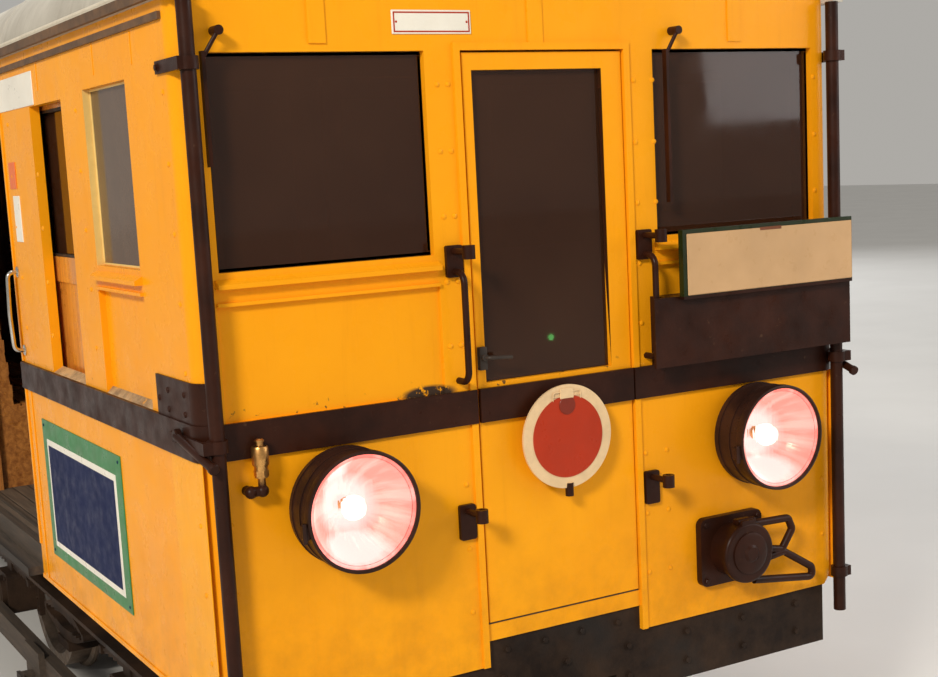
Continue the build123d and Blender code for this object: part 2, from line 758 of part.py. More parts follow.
def end_strips():
    """The upright cover strips over the windows and the door."""
    bottom = END_WINDOW_HEAD + DOOR_STRIP_WIDTH
    return [block(HALF_LENGTH, HALF_LENGTH + COVER_STRIP, y - COVER_STRIP_WIDTH / 2,
                  y + COVER_STRIP_WIDTH / 2, bottom, ROOF_CROWN) for y in COVER_STRIPS]


def door_strips():
    """The moulding round the end doorway, broken at the band."""
    x0, x1 = HALF_LENGTH, HALF_LENGTH + DOOR_STRIP
    near = END_DOORWAY_WIDTH / 2
    far = near + DOOR_STRIP_WIDTH
    top = END_WINDOW_HEAD + DOOR_STRIP_WIDTH
    strips = [block(x0, x1, -far, far, END_WINDOW_HEAD, top)]
    for side in (-1, 1):
        for z0, z1 in ((PANEL_BOTTOM, BAND_BOTTOM), (BAND_TOP, top)):
            strips.append(block(x0, x1, side * near, side * far, z0, z1))
    return strips


def end_ledge(y0, y1):
    """The sloping ledge under an end window and the thin moulding over the recessed panel."""
    top = WINDOW_SILL - LEDGE_DROP
    out = HALF_LENGTH + LEDGE_DEPTH
    outline = Polyline((HALF_LENGTH, top), (out, top - LEDGE_HEIGHT / 2), (out, top - LEDGE_HEIGHT),
                       (HALF_LENGTH, top - LEDGE_HEIGHT), close=True)
    low, high = min(y0, y1), max(y0, y1)
    ledge = extrude(Plane.XZ * make_face(outline), -(high - low))
    ledge = Pos(0, low, 0) * ledge
    strip = block(HALF_LENGTH, HALF_LENGTH + MOULDING, low, high, END_RECESS_TOP, END_RECESS_TOP + MOULDING)
    return ledge + strip


def hinges(x_pin, y_pin, x_door, x_wall):
    """Hinge barrels around one upright pin: those on the door, and those on the wall."""
    door, wall = [], []
    half = HINGE_HEIGHT / 2
    for z in HINGE_ZS:
        barrel = Pos(x_pin, y_pin, z) * Cylinder(HINGE_RADIUS, HINGE_HEIGHT)
        strap = block(x_pin, x_door, y_pin - HINGE_STRAP, y_pin - HINGE_SINK, z - half, z + half)
        door.append(barrel + strap)
        low = z - HINGE_HEIGHT - RUNNING_GAP
        knuckle = Pos(x_pin, y_pin, low) * Cylinder(HINGE_RADIUS, HINGE_HEIGHT)
        plate = block(x_pin, x_wall, y_pin, y_pin + HINGE_LEAF, low - half, low + half)
        wall.append(knuckle + plate)
    return door, wall


def end_hinges():
    """The hinges of the front end door."""
    wall_face = HALF_LENGTH - END_WALL
    x_pin = wall_face - HINGE_RADIUS - HINGE_CLEAR
    return hinges(x_pin, HINGE_Y, END_DOOR_FACE - END_DOOR_THICKNESS, wall_face)


def end_door():
    """The hinged door in the front end wall, with a large pane, its piece of the band and a flat foot."""
    y_hinge = END_DOORWAY_WIDTH / 2 - END_DOOR_HINGE_GAP
    y_lock = -END_DOORWAY_WIDTH / 2 + END_DOOR_LOCK_GAP
    top = END_WINDOW_HEAD - END_DOOR_HINGE_GAP
    bottom = FLOOR_TOP + THRESHOLD_RISE + END_DOOR_HINGE_GAP
    x0, x1 = END_DOOR_FACE - END_DOOR_THICKNESS, END_DOOR_FACE
    door = block(x0, x1, y_lock, y_hinge, bottom, top)
    pane = (y_lock + END_DOOR_LOCK_STILE, y_hinge - END_DOOR_HINGE_STILE, END_DOOR_GLASS_SILL,
            top - END_DOOR_TOP_RAIL)
    door -= block(x0 - CUT, x1 + CUT, *pane)
    door += block(x1, HALF_LENGTH + BAND_THICKNESS, y_lock, y_hinge, BAND_BOTTOM, BAND_TOP)
    for barrel in end_hinges()[0]:
        door += barrel
    pane_x = (x0 + x1) / 2
    sheet = block(pane_x, pane_x + PANE, pane[0] + RUNNING_GAP, pane[1] - RUNNING_GAP,
                  pane[2] + RUNNING_GAP, pane[3] - RUNNING_GAP)
    return group([door, sheet])


def roof():
    """The arched roof shell with its ventilators in a row and a drip rail along each side."""
    outer = extrude(roof_face(0, CANTRAIL_TOP - CUT), BODY_LENGTH / 2 + ROOF_END_OVERHANG, both=True)
    inner = extrude(roof_face(ROOF_THICKNESS, CANTRAIL_TOP - 2 * CUT), BODY_LENGTH, both=True)
    shell = outer - inner
    shell -= block(-BODY_LENGTH, BODY_LENGTH, -BODY_WIDTH, BODY_WIDTH, 0, CANTRAIL_TOP)
    sunk = ROOF_THICKNESS / 2
    for i in range(VENT_COUNT):
        x = (i - (VENT_COUNT - 1) / 2) * VENT_SPACING
        hood = extrude(SlotOverall(VENT_LENGTH, VENT_WIDTH), VENT_HEIGHT + sunk)
        hood = fillet(hood.faces().sort_by(Axis.Z)[-1].edges(), VENT_ROUND)
        shell += Pos(x, 0, ROOF_CROWN - sunk) * hood
    half = HALF_WIDTH + ROOF_OVERHANG
    for side in (-1, 1):
        shell += block(-HALF_LENGTH, HALF_LENGTH, side * (half - DRIP_RAIL / 2), side * (half + DRIP_RAIL),
                       CANTRAIL_TOP, CANTRAIL_TOP + 2 * DRIP_RAIL)
    return shell


def waist_band():
    """The black band round the body, broken at the doorways and the end doors."""
    ring = shell_ring(BAND_THICKNESS, BAND_BOTTOM, BAND_TOP)
    for x0, x1 in doorway_spans():
        ring -= block(x0, x1, -BODY_WIDTH, BODY_WIDTH, BAND_BOTTOM, BAND_TOP)
    ring -= block(-BODY_LENGTH, BODY_LENGTH, -END_DOORWAY_WIDTH / 2, END_DOORWAY_WIDTH / 2,
                  BAND_BOTTOM, BAND_TOP)
    return group([ring])


def corner_poles():
    """The tubes beside the four corners with the flat bars that clamp them."""
    pole = Pos(POLE_X, -POLE_Y, POLE_BOTTOM) * extrude(Circle(POLE_RADIUS), POLE_TOP - POLE_BOTTOM)
    for z, s, off in CLAMPS:
        y_in = -HALF_WIDTH - off
        z0, z1 = z - CLAMP_HEIGHT / 2, z + CLAMP_HEIGHT / 2
        ring = Pos(POLE_X, -POLE_Y, z0) * extrude(Circle(POLE_RADIUS + CLAMP_BAR), CLAMP_HEIGHT)
        end = POLE_X + POLE_RADIUS
        pole += ring + block(at_s(s), end, y_in, y_in - CLAMP_BAR, z0, z1)
        pole += block(POLE_X - CLAMP_BAR, end, -POLE_Y, y_in - CLAMP_BAR, z0, z1)
    poles = []
    for piece in both_sides(pole):
        poles += both_ends(piece)
    return group(poles)


def corner_plates():
    """The plates round the corners above the band."""
    ring = shell_ring(CORNER_PLATE, BAND_TOP, CORNER_PLATE_TOP)
    plate = ring & block(at_s(CORNER_PLATE_LENGTH), BODY_LENGTH, -BODY_WIDTH,
                         CORNER_PLATE_TURN - HALF_WIDTH, 0, ROOF_CROWN)
    plates = []
    for piece in both_sides(plate):
        plates += both_ends(piece)
    return group(plates)


def lamp_drum():
    """One headlight housing, a hollow drum on a short neck, open to the front, around the X axis."""
    neck, body = LAMP_NECK_RADIUS, LAMP_RADIUS - LAMP_RIM_STEP
    seat = LAMP_LENS_RADIUS + RUNNING_GAP
    rim = LAMP_DEPTH - LAMP_RIM_LENGTH
    bowl = LAMP_NECK + LAMP_BOWL_BACK
    profile = Polyline((0, 0), (0, neck), (LAMP_NECK, neck), (LAMP_NECK, body - LAMP_BACK_ROUND),
                       (LAMP_NECK + LAMP_BACK_ROUND, body), (rim, body), (rim, LAMP_RADIUS),
                       (LAMP_DEPTH, LAMP_RADIUS), (LAMP_DEPTH, seat), (LAMP_DEPTH - LENS_SEAT, seat),
                       (LAMP_DEPTH - LENS_SEAT, LAMP_LENS_RADIUS - LAMP_RIM),
                       (LAMP_NECK + LAMP_BOWL_DEPTH, LAMP_BOWL_EDGE), (bowl, LAMP_BOWL_FLOOR),
                       (bowl, 0), close=True)
    return revolve(Plane.XY * make_face(profile), Axis.X)


def lamp_lens():
    """One headlight glass, slightly domed, around the X axis."""
    x = LAMP_DEPTH - LENS_SEAT
    height = LENS_THICKNESS + LENS_BULGE
    sphere = (LAMP_LENS_RADIUS ** 2 + LENS_BULGE ** 2) / (2 * LENS_BULGE)
    round_blank = Pos(x, 0, 0) * Rot(0, 90, 0) * extrude(Circle(LAMP_LENS_RADIUS), height)
    return round_blank & (Pos(x + height - sphere, 0, 0) * Sphere(sphere))


def at_lamps(shape):
    """Copies of a lamp piece at the four lamp places."""
    places = []
    for side in (-1, 1):
        places += both_ends(Pos(HALF_LENGTH, side * LAMP_Y, LAMP_Z) * shape)
    return group(places)


def signal_disc():
    """The round plate on the front door, with its hook over the band and its peg below."""
    x = HALF_LENGTH + BAND_THICKNESS + DISC_STANDOFF
    turn = Rot(0, 90, 0)
    disc = Pos(x, 0, DISC_Z) * turn * Cylinder(DISC_RADIUS, DISC_THICKNESS)
    face_x = x + DISC_THICKNESS / 2
    face = Pos(face_x, 0, DISC_Z) * turn * Cylinder(DISC_CENTRE_RADIUS, 2 * DISC_CENTRE_RISE)
    hook = block(HALF_LENGTH + BAND_THICKNESS, x, -DISC_HOOK_HALF, DISC_HOOK_HALF,
                 DISC_HOOK_Z - DISC_HOOK_HEIGHT / 2, DISC_HOOK_Z + DISC_HOOK_HEIGHT / 2)
    foot = DISC_Z - DISC_RADIUS
    peg = rod((END_DOOR_FACE, 0, foot + PEG_RISE), (x, 0, foot + PEG_RISE), PEG_RADIUS)
    tail = rod((x, 0, foot - PEG_TAIL), (x, 0, foot + PEG_RISE), PEG_RADIUS)
    return disc + face + hook + peg + tail


def destination_boards():
    """The board in its holder at each end, blank."""
    x = HALF_LENGTH + HOLDER_DEPTH
    board = block(x, x + BOARD_THICKNESS, BOARD_CENTRE_Y - BOARD_WIDTH / 2,
                  BOARD_CENTRE_Y + BOARD_WIDTH / 2, BOARD_BOTTOM, BOARD_BOTTOM + BOARD_HEIGHT)
    return group(both_ends(board))


def board_holders():
    """The closed black box under each board, with a front sheet wider than the box."""
    y_box = BRACKET_Y + RAIL_RADIUS + HOLDER_CLEAR
    y0 = BRACKET_Y - BRACKET_WIDTH / 2
    y1 = BOARD_CENTRE_Y + BOARD_WIDTH / 2 + HOLDER_REACH
    x0, x1 = HALF_LENGTH, HALF_LENGTH + HOLDER_DEPTH
    top = BOARD_BOTTOM
    box = block(x0, x1, y_box, END_WINDOW_OUTER, BAND_TOP, top)
    sheet = block(x1 - HOLDER_SHEET, x1, y0, y1, BAND_TOP, top)
    lip = block(x1 - HOLDER_SHEET, x1 + BOARD_THICKNESS, BOARD_CENTRE_Y - BOARD_WIDTH / 2,
                BOARD_CENTRE_Y + BOARD_WIDTH / 2, top - HOLDER_SHEET, top)
    return group(both_ends(box + sheet + lip))


def gate_bracket(y):
    """The two gate brackets and the grab rail on one side of the front door."""
    pieces = []
    x = HALF_LENGTH + ARM_LENGTH
    for bottom, height, eye_z in BRACKETS:
        plate = block(HALF_LENGTH, HALF_LENGTH + BRACKET_PLATE, y - BRACKET_WIDTH / 2,
                      y + BRACKET_WIDTH / 2, bottom, bottom + height)
        plate = fillet(plate.edges().filter_by(Axis.X), BRACKET_PLATE / 2)
        arm = rod((HALF_LENGTH, y, eye_z), (x, y, eye_z), ARM_RADIUS)
        eye = Pos(x, y, eye_z) * Cylinder(EYE_RADIUS, EYE_HEIGHT)
        hole = Pos(x, y, eye_z) * Cylinder(EYE_HOLE_RADIUS, EYE_HEIGHT + 2 * CUT)
        pieces.append(plate + arm + eye - hole)
    top_z = BRACKETS[0][0] + RAIL_RISE
    path = FilletPolyline((HALF_LENGTH + BRACKET_PLATE, y, top_z), (RAIL_X, y, top_z),
                          (RAIL_X, y, RAIL_BOTTOM), (HALF_LENGTH, y, RAIL_BOTTOM), radius=RAIL_BEND)
    start = Plane(origin=path @ 0, z_dir=path % 0)
    pieces[0] = pieces[0] + sweep(start * Circle(RAIL_RADIUS), path=path)
    return pieces


def gate_brackets():
    """All gate brackets, at both sides of both end doors."""
    pieces = []
    for side in (-1, 1):
        for piece in gate_bracket(side * BRACKET_Y):
            pieces += both_ends(piece)
    return group(pieces)


def air_cocks():
    """The brass air cock below the band at each end, with its elbow into the wall."""
    stem = Pos(COCK_X, COCK_Y, COCK_BOTTOM) * extrude(Circle(COCK_STEM), COCK_TOP - COCK_BOTTOM)
    barrel = extrude(Circle(COCK_BARREL), COCK_BARREL_HEIGHT)
    barrel = Pos(COCK_X, COCK_Y, COCK_BOTTOM + COCK_BARREL_RISE) * barrel
    y_pipe = COCK_Y - COCK_SIDE
    elbow = Pos(COCK_X, COCK_Y, COCK_BOTTOM) * Sphere(COCK_ELBOW)
    elbow += Pos(COCK_X, y_pipe, COCK_BOTTOM) * Sphere(COCK_ELBOW)
    elbow += rod((COCK_X, COCK_Y, COCK_BOTTOM), (COCK_X, y_pipe, COCK_BOTTOM), COCK_PIPE)
    pipe = rod((HALF_LENGTH, y_pipe, COCK_BOTTOM), (COCK_X, y_pipe, COCK_BOTTOM), COCK_PIPE)
    return group(both_ends(stem + barrel + elbow + pipe))


def jumper_sockets():
    """The electric socket at each end: a plate, a round body with its lid, and two looped handles."""
    x0 = HALF_LENGTH
    plate = Pos(x0 + SOCKET_PLATE / 2, SOCKET_Y, SOCKET_Z) * Box(SOCKET_PLATE, SOCKET_WIDTH, SOCKET_HEIGHT)
    plate = fillet(plate.edges().filter_by(Axis.X), SOCKET_ROUND)
    turn = Rot(0, 90, 0)
    body = Pos(x0, SOCKET_Y, SOCKET_Z) * turn * extrude(Circle(SOCKET_BODY_RADIUS), SOCKET_DEPTH)
    lid = extrude(Circle(SOCKET_LID_RADIUS), SOCKET_LID)
    lid = fillet(lid.faces().sort_by(Axis.Z)[-1].edges(), SOCKET_LID / 2)
    body += Pos(x0 + SOCKET_DEPTH, SOCKET_Y, SOCKET_Z) * turn * lid
    body += plate
    x = x0 + SOCKET_DEPTH / 2 + SOCKET_PLATE
    for points in HANDLES:
        loop = FilletPolyline(*[(x, SOCKET_Y + y, SOCKET_Z + z) for y, z in points], radius=HANDLE_BEND)
        start = Plane(origin=loop @ 0, z_dir=loop % 0)
        body += sweep(start * Circle(HANDLE_RADIUS), path=loop)
    return group(both_ends(body))


def wipers():
    """A hanging wiper at the outer edge of each end window."""
    pieces = []
    for pivot_y, blade_y, top, bottom in WIPERS:
        boss = rod((HALF_LENGTH, pivot_y, WIPER_PIVOT_Z),
                   (HALF_LENGTH + WIPER_BOSS_OUT, pivot_y, WIPER_PIVOT_Z), WIPER_BOSS)
        x = HALF_LENGTH + WIPER_ARM_OUT
        blade_x = x - WIPER_BLADE_DEPTH / 2
        arm = rod((x, pivot_y, WIPER_PIVOT_Z), (blade_x, blade_y, top - WIPER_BLADE_DEPTH), WIPER_ARM)
        blade = block(blade_x - WIPER_BLADE_DEPTH / 2, blade_x + WIPER_BLADE_DEPTH / 2,
                      blade_y - WIPER_BLADE / 2, blade_y + WIPER_BLADE / 2, bottom, top)
        pieces += both_ends(boss + arm + blade)
    return group(pieces)


def door_sills():
    """At each doorway a threshold, a step board and the runner rail that the leaves stand on."""
    pieces = []
    rail_y = (POST_Y + LINING_Y) / 2
    reach = POCKET_DEPTH - RUNNER_END_GAP
    for x0, x1 in doorway_spans():
        sill = block(x0, x1, -POST_Y, -HALF_WIDTH, STEP_Z, FLOOR_TOP)
        step = block(x0 + STEP_END_GAP, x1 - STEP_END_GAP, -HALF_WIDTH, -HALF_WIDTH - STEP_OUT, STEP_Z,
                     STEP_Z + STEP_THICKNESS)
        pieces += both_sides(sill + step)
        rail = block(x0 - reach, x1 + reach, -rail_y - RUNNER_WIDTH / 2, -rail_y + RUNNER_WIDTH / 2,
                     FLOOR_TOP, FLOOR_TOP + RUNNER_HEIGHT)
        pieces += both_sides(rail)
    return group(pieces)


def leaves():
    """Every sliding leaf, from the front, right side first."""
    rows = []
    for side, side_name in ((-1, "right"), (1, "left")):
        number = 1
        for x0, x1 in doorway_spans():
            middle = (x0 + x1) / 2
            is_open = side == -1 and middle > 0
            for way in (1, -1):
                rows.append(("door_%s_%d" % (side_name, number), side, middle, way, is_open))
                number += 1
    return rows


def door_leaf(side, middle, way, is_open):
    """One sliding leaf: a frame with a glazed top and a sunk lower panel, standing on the runner."""
    width = DOORWAY_WIDTH / 2 - LEAF_MEETING_GAP / 2 + LEAF_OVERLAP
    bottom = FLOOR_TOP + RUNNER_HEIGHT + RUNNING_GAP
    top = CANTRAIL_BOTTOM + LEAF_TOP_ENGAGEMENT
    y = (POST_Y + LINING_Y) / 2
    y0, y1 = y - LEAF_THICKNESS / 2, y + LEAF_THICKNESS / 2
    lead = LEAF_MEETING_GAP / 2
    leaf = block(lead, lead + width, y0, y1, bottom, top)
    inner = (lead + LEAF_STILE, lead + width - LEAF_STILE)
    leaf -= block(*inner, y0 - CUT, y1 + CUT, LEAF_RAIL_Z, LEAF_GLASS_HEAD)
    for face, sign in ((y0, -1), (y1, 1)):
        leaf -= block(*inner, face + sign, face - sign * LEAF_PANEL_RECESS,
                      bottom + LEAF_FOOT, LEAF_RAIL_Z - LEAF_STILE)
    pane = block(inner[0] + RUNNING_GAP, inner[1] - RUNNING_GAP, y - PANE / 2, y + PANE / 2,
                 LEAF_RAIL_Z + RUNNING_GAP, LEAF_GLASS_HEAD - RUNNING_GAP)
    shift = LEAF_TRAVEL if is_open else 0.0
    placed = []
    for piece in (leaf, pane):
        piece = Pos(shift, 0, 0) * piece
        if way < 0:
            piece = mirror(piece, about=Plane.YZ)
        if side < 0:
            piece = mirror(piece, about=Plane.XZ)
        placed.append(Pos(middle, 0, 0) * piece)
    return group(placed)


def cab_partition():
    """The wall between cab and saloon at the front, with a doorway and two windows."""
    x0, x1 = at_s(PARTITION_S + PARTITION), at_s(PARTITION_S)
    wall = Pos(x0, 0, 0) * extrude(roof_face(ROOF_THICKNESS, FLOOR_TOP), PARTITION)
    wall = wall & block(x0, x1, -INNER_Y, INNER_Y, FLOOR_TOP, ROOF_CROWN)
    half = CAB_DOOR_WIDTH / 2
    wall -= block(x0 - CUT, x1 + CUT, -half, half, FLOOR_TOP - CUT, CAB_DOOR_HEAD)
    y0, y1, z0, z1 = PARTITION_WINDOW
    for side in (-1, 1):
        wall -= block(x0 - CUT, x1 + CUT, side * y0, side * y1, z0, z1)
    return wall


def partition_glass():
    """The panes of the partition at the front."""
    x = at_s(PARTITION_S + PARTITION / 2)
    y0, y1, z0, z1 = PARTITION_WINDOW
    return both_sides(block(x - PANE / 2, x + PANE / 2, y0, y1, z0, z1))


def cab_hinges():
    """The hinges of the door in the front partition."""
    face = at_s(PARTITION_S + PARTITION)
    pin_y = CAB_DOOR_WIDTH / 2 - (END_DOORWAY_WIDTH / 2 - HINGE_Y)
    return hinges(face - HINGE_RADIUS - HINGE_CLEAR, pin_y, face + HINGE_SINK, face)


def cab_door():
    """The door of the front partition, glazed above, opening into the saloon."""
    x0 = at_s(PARTITION_S + PARTITION) + CAB_DOOR_INSET
    x1 = x0 + CAB_DOOR_THICKNESS
    half = CAB_DOOR_WIDTH / 2
    y_lock, y_hinge = -half + END_DOOR_LOCK_GAP, half - END_DOOR_HINGE_GAP
    bottom = FLOOR_TOP + END_DOOR_HINGE_GAP
    top = CAB_DOOR_HEAD - END_DOOR_HINGE_GAP
    door = block(x0, x1, y_lock, y_hinge, bottom, top)
    window = (y_lock + CAB_DOOR_STILE, y_hinge - CAB_DOOR_STILE, PARTITION_WINDOW[2], top - CAB_DOOR_STILE)
    door -= block(x0 - CUT, x1 + CUT, *window)
    for barrel in cab_hinges()[0]:
        door += barrel
    x = (x0 + x1) / 2
    sheet = block(x - PANE / 2, x + PANE / 2, window[0] + RUNNING_GAP, window[1] - RUNNING_GAP,
                  window[2] + RUNNING_GAP, window[3] - RUNNING_GAP)
    return group([door, sheet])


def driver_desks():
    """The controller stand in each cab, on the right, with its crank handle."""
    x1 = HALF_LENGTH - END_WALL - DESK_WALL_GAP
    y0 = -INNER_Y + DESK_SIDE_GAP
    base = block(x1 - DESK_DEPTH, x1, y0, y0 + DESK_WIDTH, FLOOR_TOP, DESK_TOP)
    base = fillet(base.edges().filter_by(Axis.Z), DESK_ROUND)
    x, y = x1 - DESK_DEPTH / 2, y0 + DESK_WIDTH / 2
    crank_z = DESK_TOP + HUB_HEIGHT
    hub = Pos(x, y, DESK_TOP) * extrude(Circle(HUB_RADIUS), HUB_HEIGHT)
    crank = block(x - CRANK_WIDTH / 2, x + CRANK_WIDTH / 2, y - CRANK_REACH, y + CRANK_TAIL, crank_z,
                  crank_z + CRANK_THICKNESS)
    knob_y = y - CRANK_REACH + KNOB_RADIUS
    knob = Pos(x, knob_y, crank_z + CRANK_THICKNESS) * extrude(Circle(KNOB_RADIUS), KNOB_HEIGHT)
    return group(both_ends(base + hub + crank + knob))


def bench(x0, x1):
    """A slatted wooden bench along the right side between two places."""
    wall = -INNER_Y
    seat_z = FLOOR_TOP + SEAT_HEIGHT
    back_z = seat_z - SEAT_DROP
    front = wall + SEAT_DEPTH
    count = max(2, int(round((x1 - x0) / BENCH_SUPPORT_EVERY)) + 1)
    side = make_face(Polyline(
        (wall, FLOOR_TOP), (front - BENCH_FOOT_SETBACK, FLOOR_TOP), (front - SLAT, seat_z - 2 * SLAT),
        (wall + BENCH_BACK_FOOT, back_z), (wall + BENCH_BACK_HEAD, BENCH_BACK_TOP), (wall, BENCH_BACK_TOP),
        close=True))
    bracket = extrude(Plane.YZ * side, BENCH_SUPPORT)
    whole = Pos(x0, 0, 0) * bracket
    for i in range(1, count):
        whole += Pos(x0 + (x1 - x0 - BENCH_SUPPORT) * i / (count - 1), 0, 0) * bracket
    middle = (x0 + x1) / 2
    for i in range(SEAT_SLATS):
        share = i / (SEAT_SLATS - 1)
        y = wall + BENCH_BACK_FOOT + share * (SEAT_DEPTH - BENCH_BACK_FOOT - SLAT_WIDTH / 2)
        z = back_z + share * (SEAT_DROP - 2 * SLAT)
        whole += Pos(middle, y, z + SLAT / 4) * Box(x1 - x0, SLAT_WIDTH, SLAT)
    for i in range(BACK_SLATS):
        share = (i + 1) / BACK_SLATS
        z = back_z + share * (BENCH_BACK_TOP - back_z) - SLAT_WIDTH / 2
        y = wall + BENCH_BACK_FOOT - share * (BENCH_BACK_FOOT - BENCH_BACK_HEAD)
        whole += Pos(middle, y, z) * Box(x1 - x0, SLAT, SLAT_WIDTH)
    return whole


def benches():
    """Benches along both sides: beside the cabs and between the doorways."""
    pieces = []
    short = (at_s(S_DOORWAY - BENCH_CLEAR), at_s(PARTITION_S + PARTITION + BENCH_CLEAR))
    for x0, x1 in (short, (-short[1], -short[0]),
                   (-at_s(S_DOORWAY_END + BENCH_CLEAR), at_s(S_DOORWAY_END + BENCH_CLEAR))):
        pieces += both_sides(bench(x0, x1))
    return group(pieces)


def grab_poles():
    """Poles at the ends of the long benches joined by a strap rail, and handles at the doorways."""
    end = at_s(S_DOORWAY_END + BENCH_CLEAR + GRAB_INSET)
    top = roof_underside(GRAB_Y + GRAB_RADIUS)
    frame = rod((-end, -GRAB_Y, STRAP_RAIL_Z), (end, -GRAB_Y, STRAP_RAIL_Z), GRAB_RADIUS)
    for x, bottom in ((-end, FLOOR_TOP), (0, STRAP_RAIL_Z), (end, FLOOR_TOP)):
        frame += rod((x, -GRAB_Y, bottom), (x, -GRAB_Y, top), GRAB_RADIUS)
    pieces = both_sides(frame)
    low, high = HANDLE_ZS
    out = -INNER_Y + HANDLE_OUT
    for x0, x1 in doorway_spans():
        for x in (x0 - HANDLE_SETBACK, x1 + HANDLE_SETBACK):
            path = FilletPolyline((x, -INNER_Y, low), (x, out, low), (x, out, high), (x, -INNER_Y, high),
                                  radius=HANDLE_CORNER)
            start = Plane(origin=path @ 0, z_dir=path % 0)
            pieces += both_sides(sweep(start * Circle(DOOR_HANDLE_RADIUS), path=path))
    return group(pieces)


def sole_bars():
    """The four long bars under the floor: two channels at the sides and two sills in the middle."""
    z0 = UNDERFRAME_BOTTOM
    end = HALF_LENGTH - END_WALL - HEADSTOCK_DEPTH
    inner = -POST_Y + SOLE_BAR_WIDTH
    side_bar = block(-end, end, -POST_Y, inner, z0, FLOOR_BOTTOM)
    side_bar -= block(-end, end, -POST_Y - CUT, inner - SOLE_BAR_WEB, z0 + SOLE_BAR_FLANGE,
                      FLOOR_BOTTOM - SOLE_BAR_FLANGE)
    sill = block(-end, end, -CENTRE_SILL_Y, -CENTRE_SILL_Y - CENTRE_SILL_WIDTH, z0 + BEARER_HEIGHT,
                 FLOOR_BOTTOM)
    return group(both_sides(side_bar) + both_sides(sill))


def cross_bearers():
    """Bearers between the sole bars, the bolsters over the bogies and the headstocks at the ends."""
    z0, z1 = UNDERFRAME_BOTTOM, UNDERFRAME_BOTTOM + BEARER_HEIGHT
    half = POST_Y - SOLE_BAR_WIDTH
    end_bearer = at_s(END_BEARER_S)
    pieces = []
    for x in (end_bearer, *MIDDLE_BEARERS, -end_bearer):
        pieces.append(block(x - BEARER_WIDTH / 2, x + BEARER_WIDTH / 2, -half, half, z0, z1))
    bolster = block(BOGIE_CENTRE - BOLSTER_HALF, BOGIE_CENTRE + BOLSTER_HALF, -half, half, z0, z1)
    centre = Pos(BOGIE_CENTRE, 0, z0 - CENTRE_PLATE) * extrude(Circle(CENTRE_PLATE_RADIUS), CENTRE_PLATE)
    pieces += both_ends(bolster + centre)
    pieces += both_ends(headstock())
    return group(pieces)


def headstock():
    """The front headstock with the coupler's yoke behind it."""
    x1 = HALF_LENGTH - END_WALL
    x0 = x1 - HEADSTOCK_DEPTH
    face = HALF_LENGTH - HEADSTOCK_SETBACK
    beam = block(x0, x1, -HEADSTOCK_HALF, HEADSTOCK_HALF, HEADSTOCK_BOTTOM, FLOOR_BOTTOM)
    beam += block(x1, face, -HEADSTOCK_HALF, HEADSTOCK_HALF, HEADSTOCK_BOTTOM, PANEL_BOTTOM)
    door_half = END_DOORWAY_WIDTH / 2
    beam += block(x1, face, -door_half, door_half, PANEL_BOTTOM, END_DOORWAY_BOTTOM)
    upper = COUPLER_Z + YOKE_GAP
    lower = COUPLER_Z - YOKE_GAP - YOKE_PLATE
    beam -= block(x0 - CUT, HALF_LENGTH, -COUPLER_NOTCH, COUPLER_NOTCH, HEADSTOCK_BOTTOM,
                  upper + NOTCH_CLEAR)
    pivot_x = at_s(COUPLER_PIVOT_S)
    back = pivot_x - YOKE_BACK
    for z in (upper, lower):
        plate = block(back, x0 + HEADSTOCK_SETBACK, -YOKE_HALF, YOKE_HALF, z, z + YOKE_PLATE)
        hole = extrude(Circle(COUPLER_PIN + RUNNING_GAP), YOKE_PLATE + 2 * CUT)
        beam += plate - Pos(pivot_x, 0, z - CUT) * hole
        for side in (-1, 1):
            beam += block(back, pivot_x + YOKE_WING, side * YOKE_HALF, side * CENTRE_SILL_Y, z,
                          z + YOKE_PLATE)
    for side in (-1, 1):
        beam += block(back, x0 + HEADSTOCK_SETBACK, side * CENTRE_SILL_Y,
                      side * (CENTRE_SILL_Y - YOKE_WEB), lower, FLOOR_BOTTOM)
    return beam


def coupler():
    """The front coupler: an eye on its pin, a shank, and a head with a jaw and a link pin hole."""
    pivot_x = at_s(COUPLER_PIVOT_S)
    face = HALF_LENGTH + COUPLER_REACH
    eye = Pos(pivot_x, 0, COUPLER_Z) * Cylinder(COUPLER_EYE, 2 * YOKE_GAP - 2 * RUNNING_GAP)
    pin = Pos(pivot_x, 0, COUPLER_Z) * Cylinder(COUPLER_PIN, 2 * (YOKE_GAP + YOKE_PLATE + PIN_TAIL))
    shank_end = face - HEAD_LENGTH + SHANK_RADIUS / 2
    shank = rod((pivot_x, 0, COUPLER_Z), (shank_end, 0, COUPLER_Z), SHANK_RADIUS)
    head = block(face - HEAD_LENGTH, face, -HEAD_WIDTH / 2, HEAD_WIDTH / 2,
                 COUPLER_Z - HEAD_HEIGHT / 2, COUPLER_Z + HEAD_HEIGHT / 2)
    head = fillet(head.edges().filter_by(Axis.X), HEAD_ROUND)
    head -= block(face - HEAD_LENGTH * JAW_SHARE, face + CUT, -HEAD_WIDTH, HEAD_WIDTH,
                  COUPLER_Z - JAW_GAP / 2, COUPLER_Z + JAW_GAP / 2)
    hole_x = face - HEAD_LENGTH * PIN_HOLE_SHARE
    hole = Pos(hole_x, 0, COUPLER_Z) * Cylinder(PIN_HOLE_RADIUS, HEAD_HEIGHT + 2 * CUT)
    return eye + pin + shank + (head - hole)


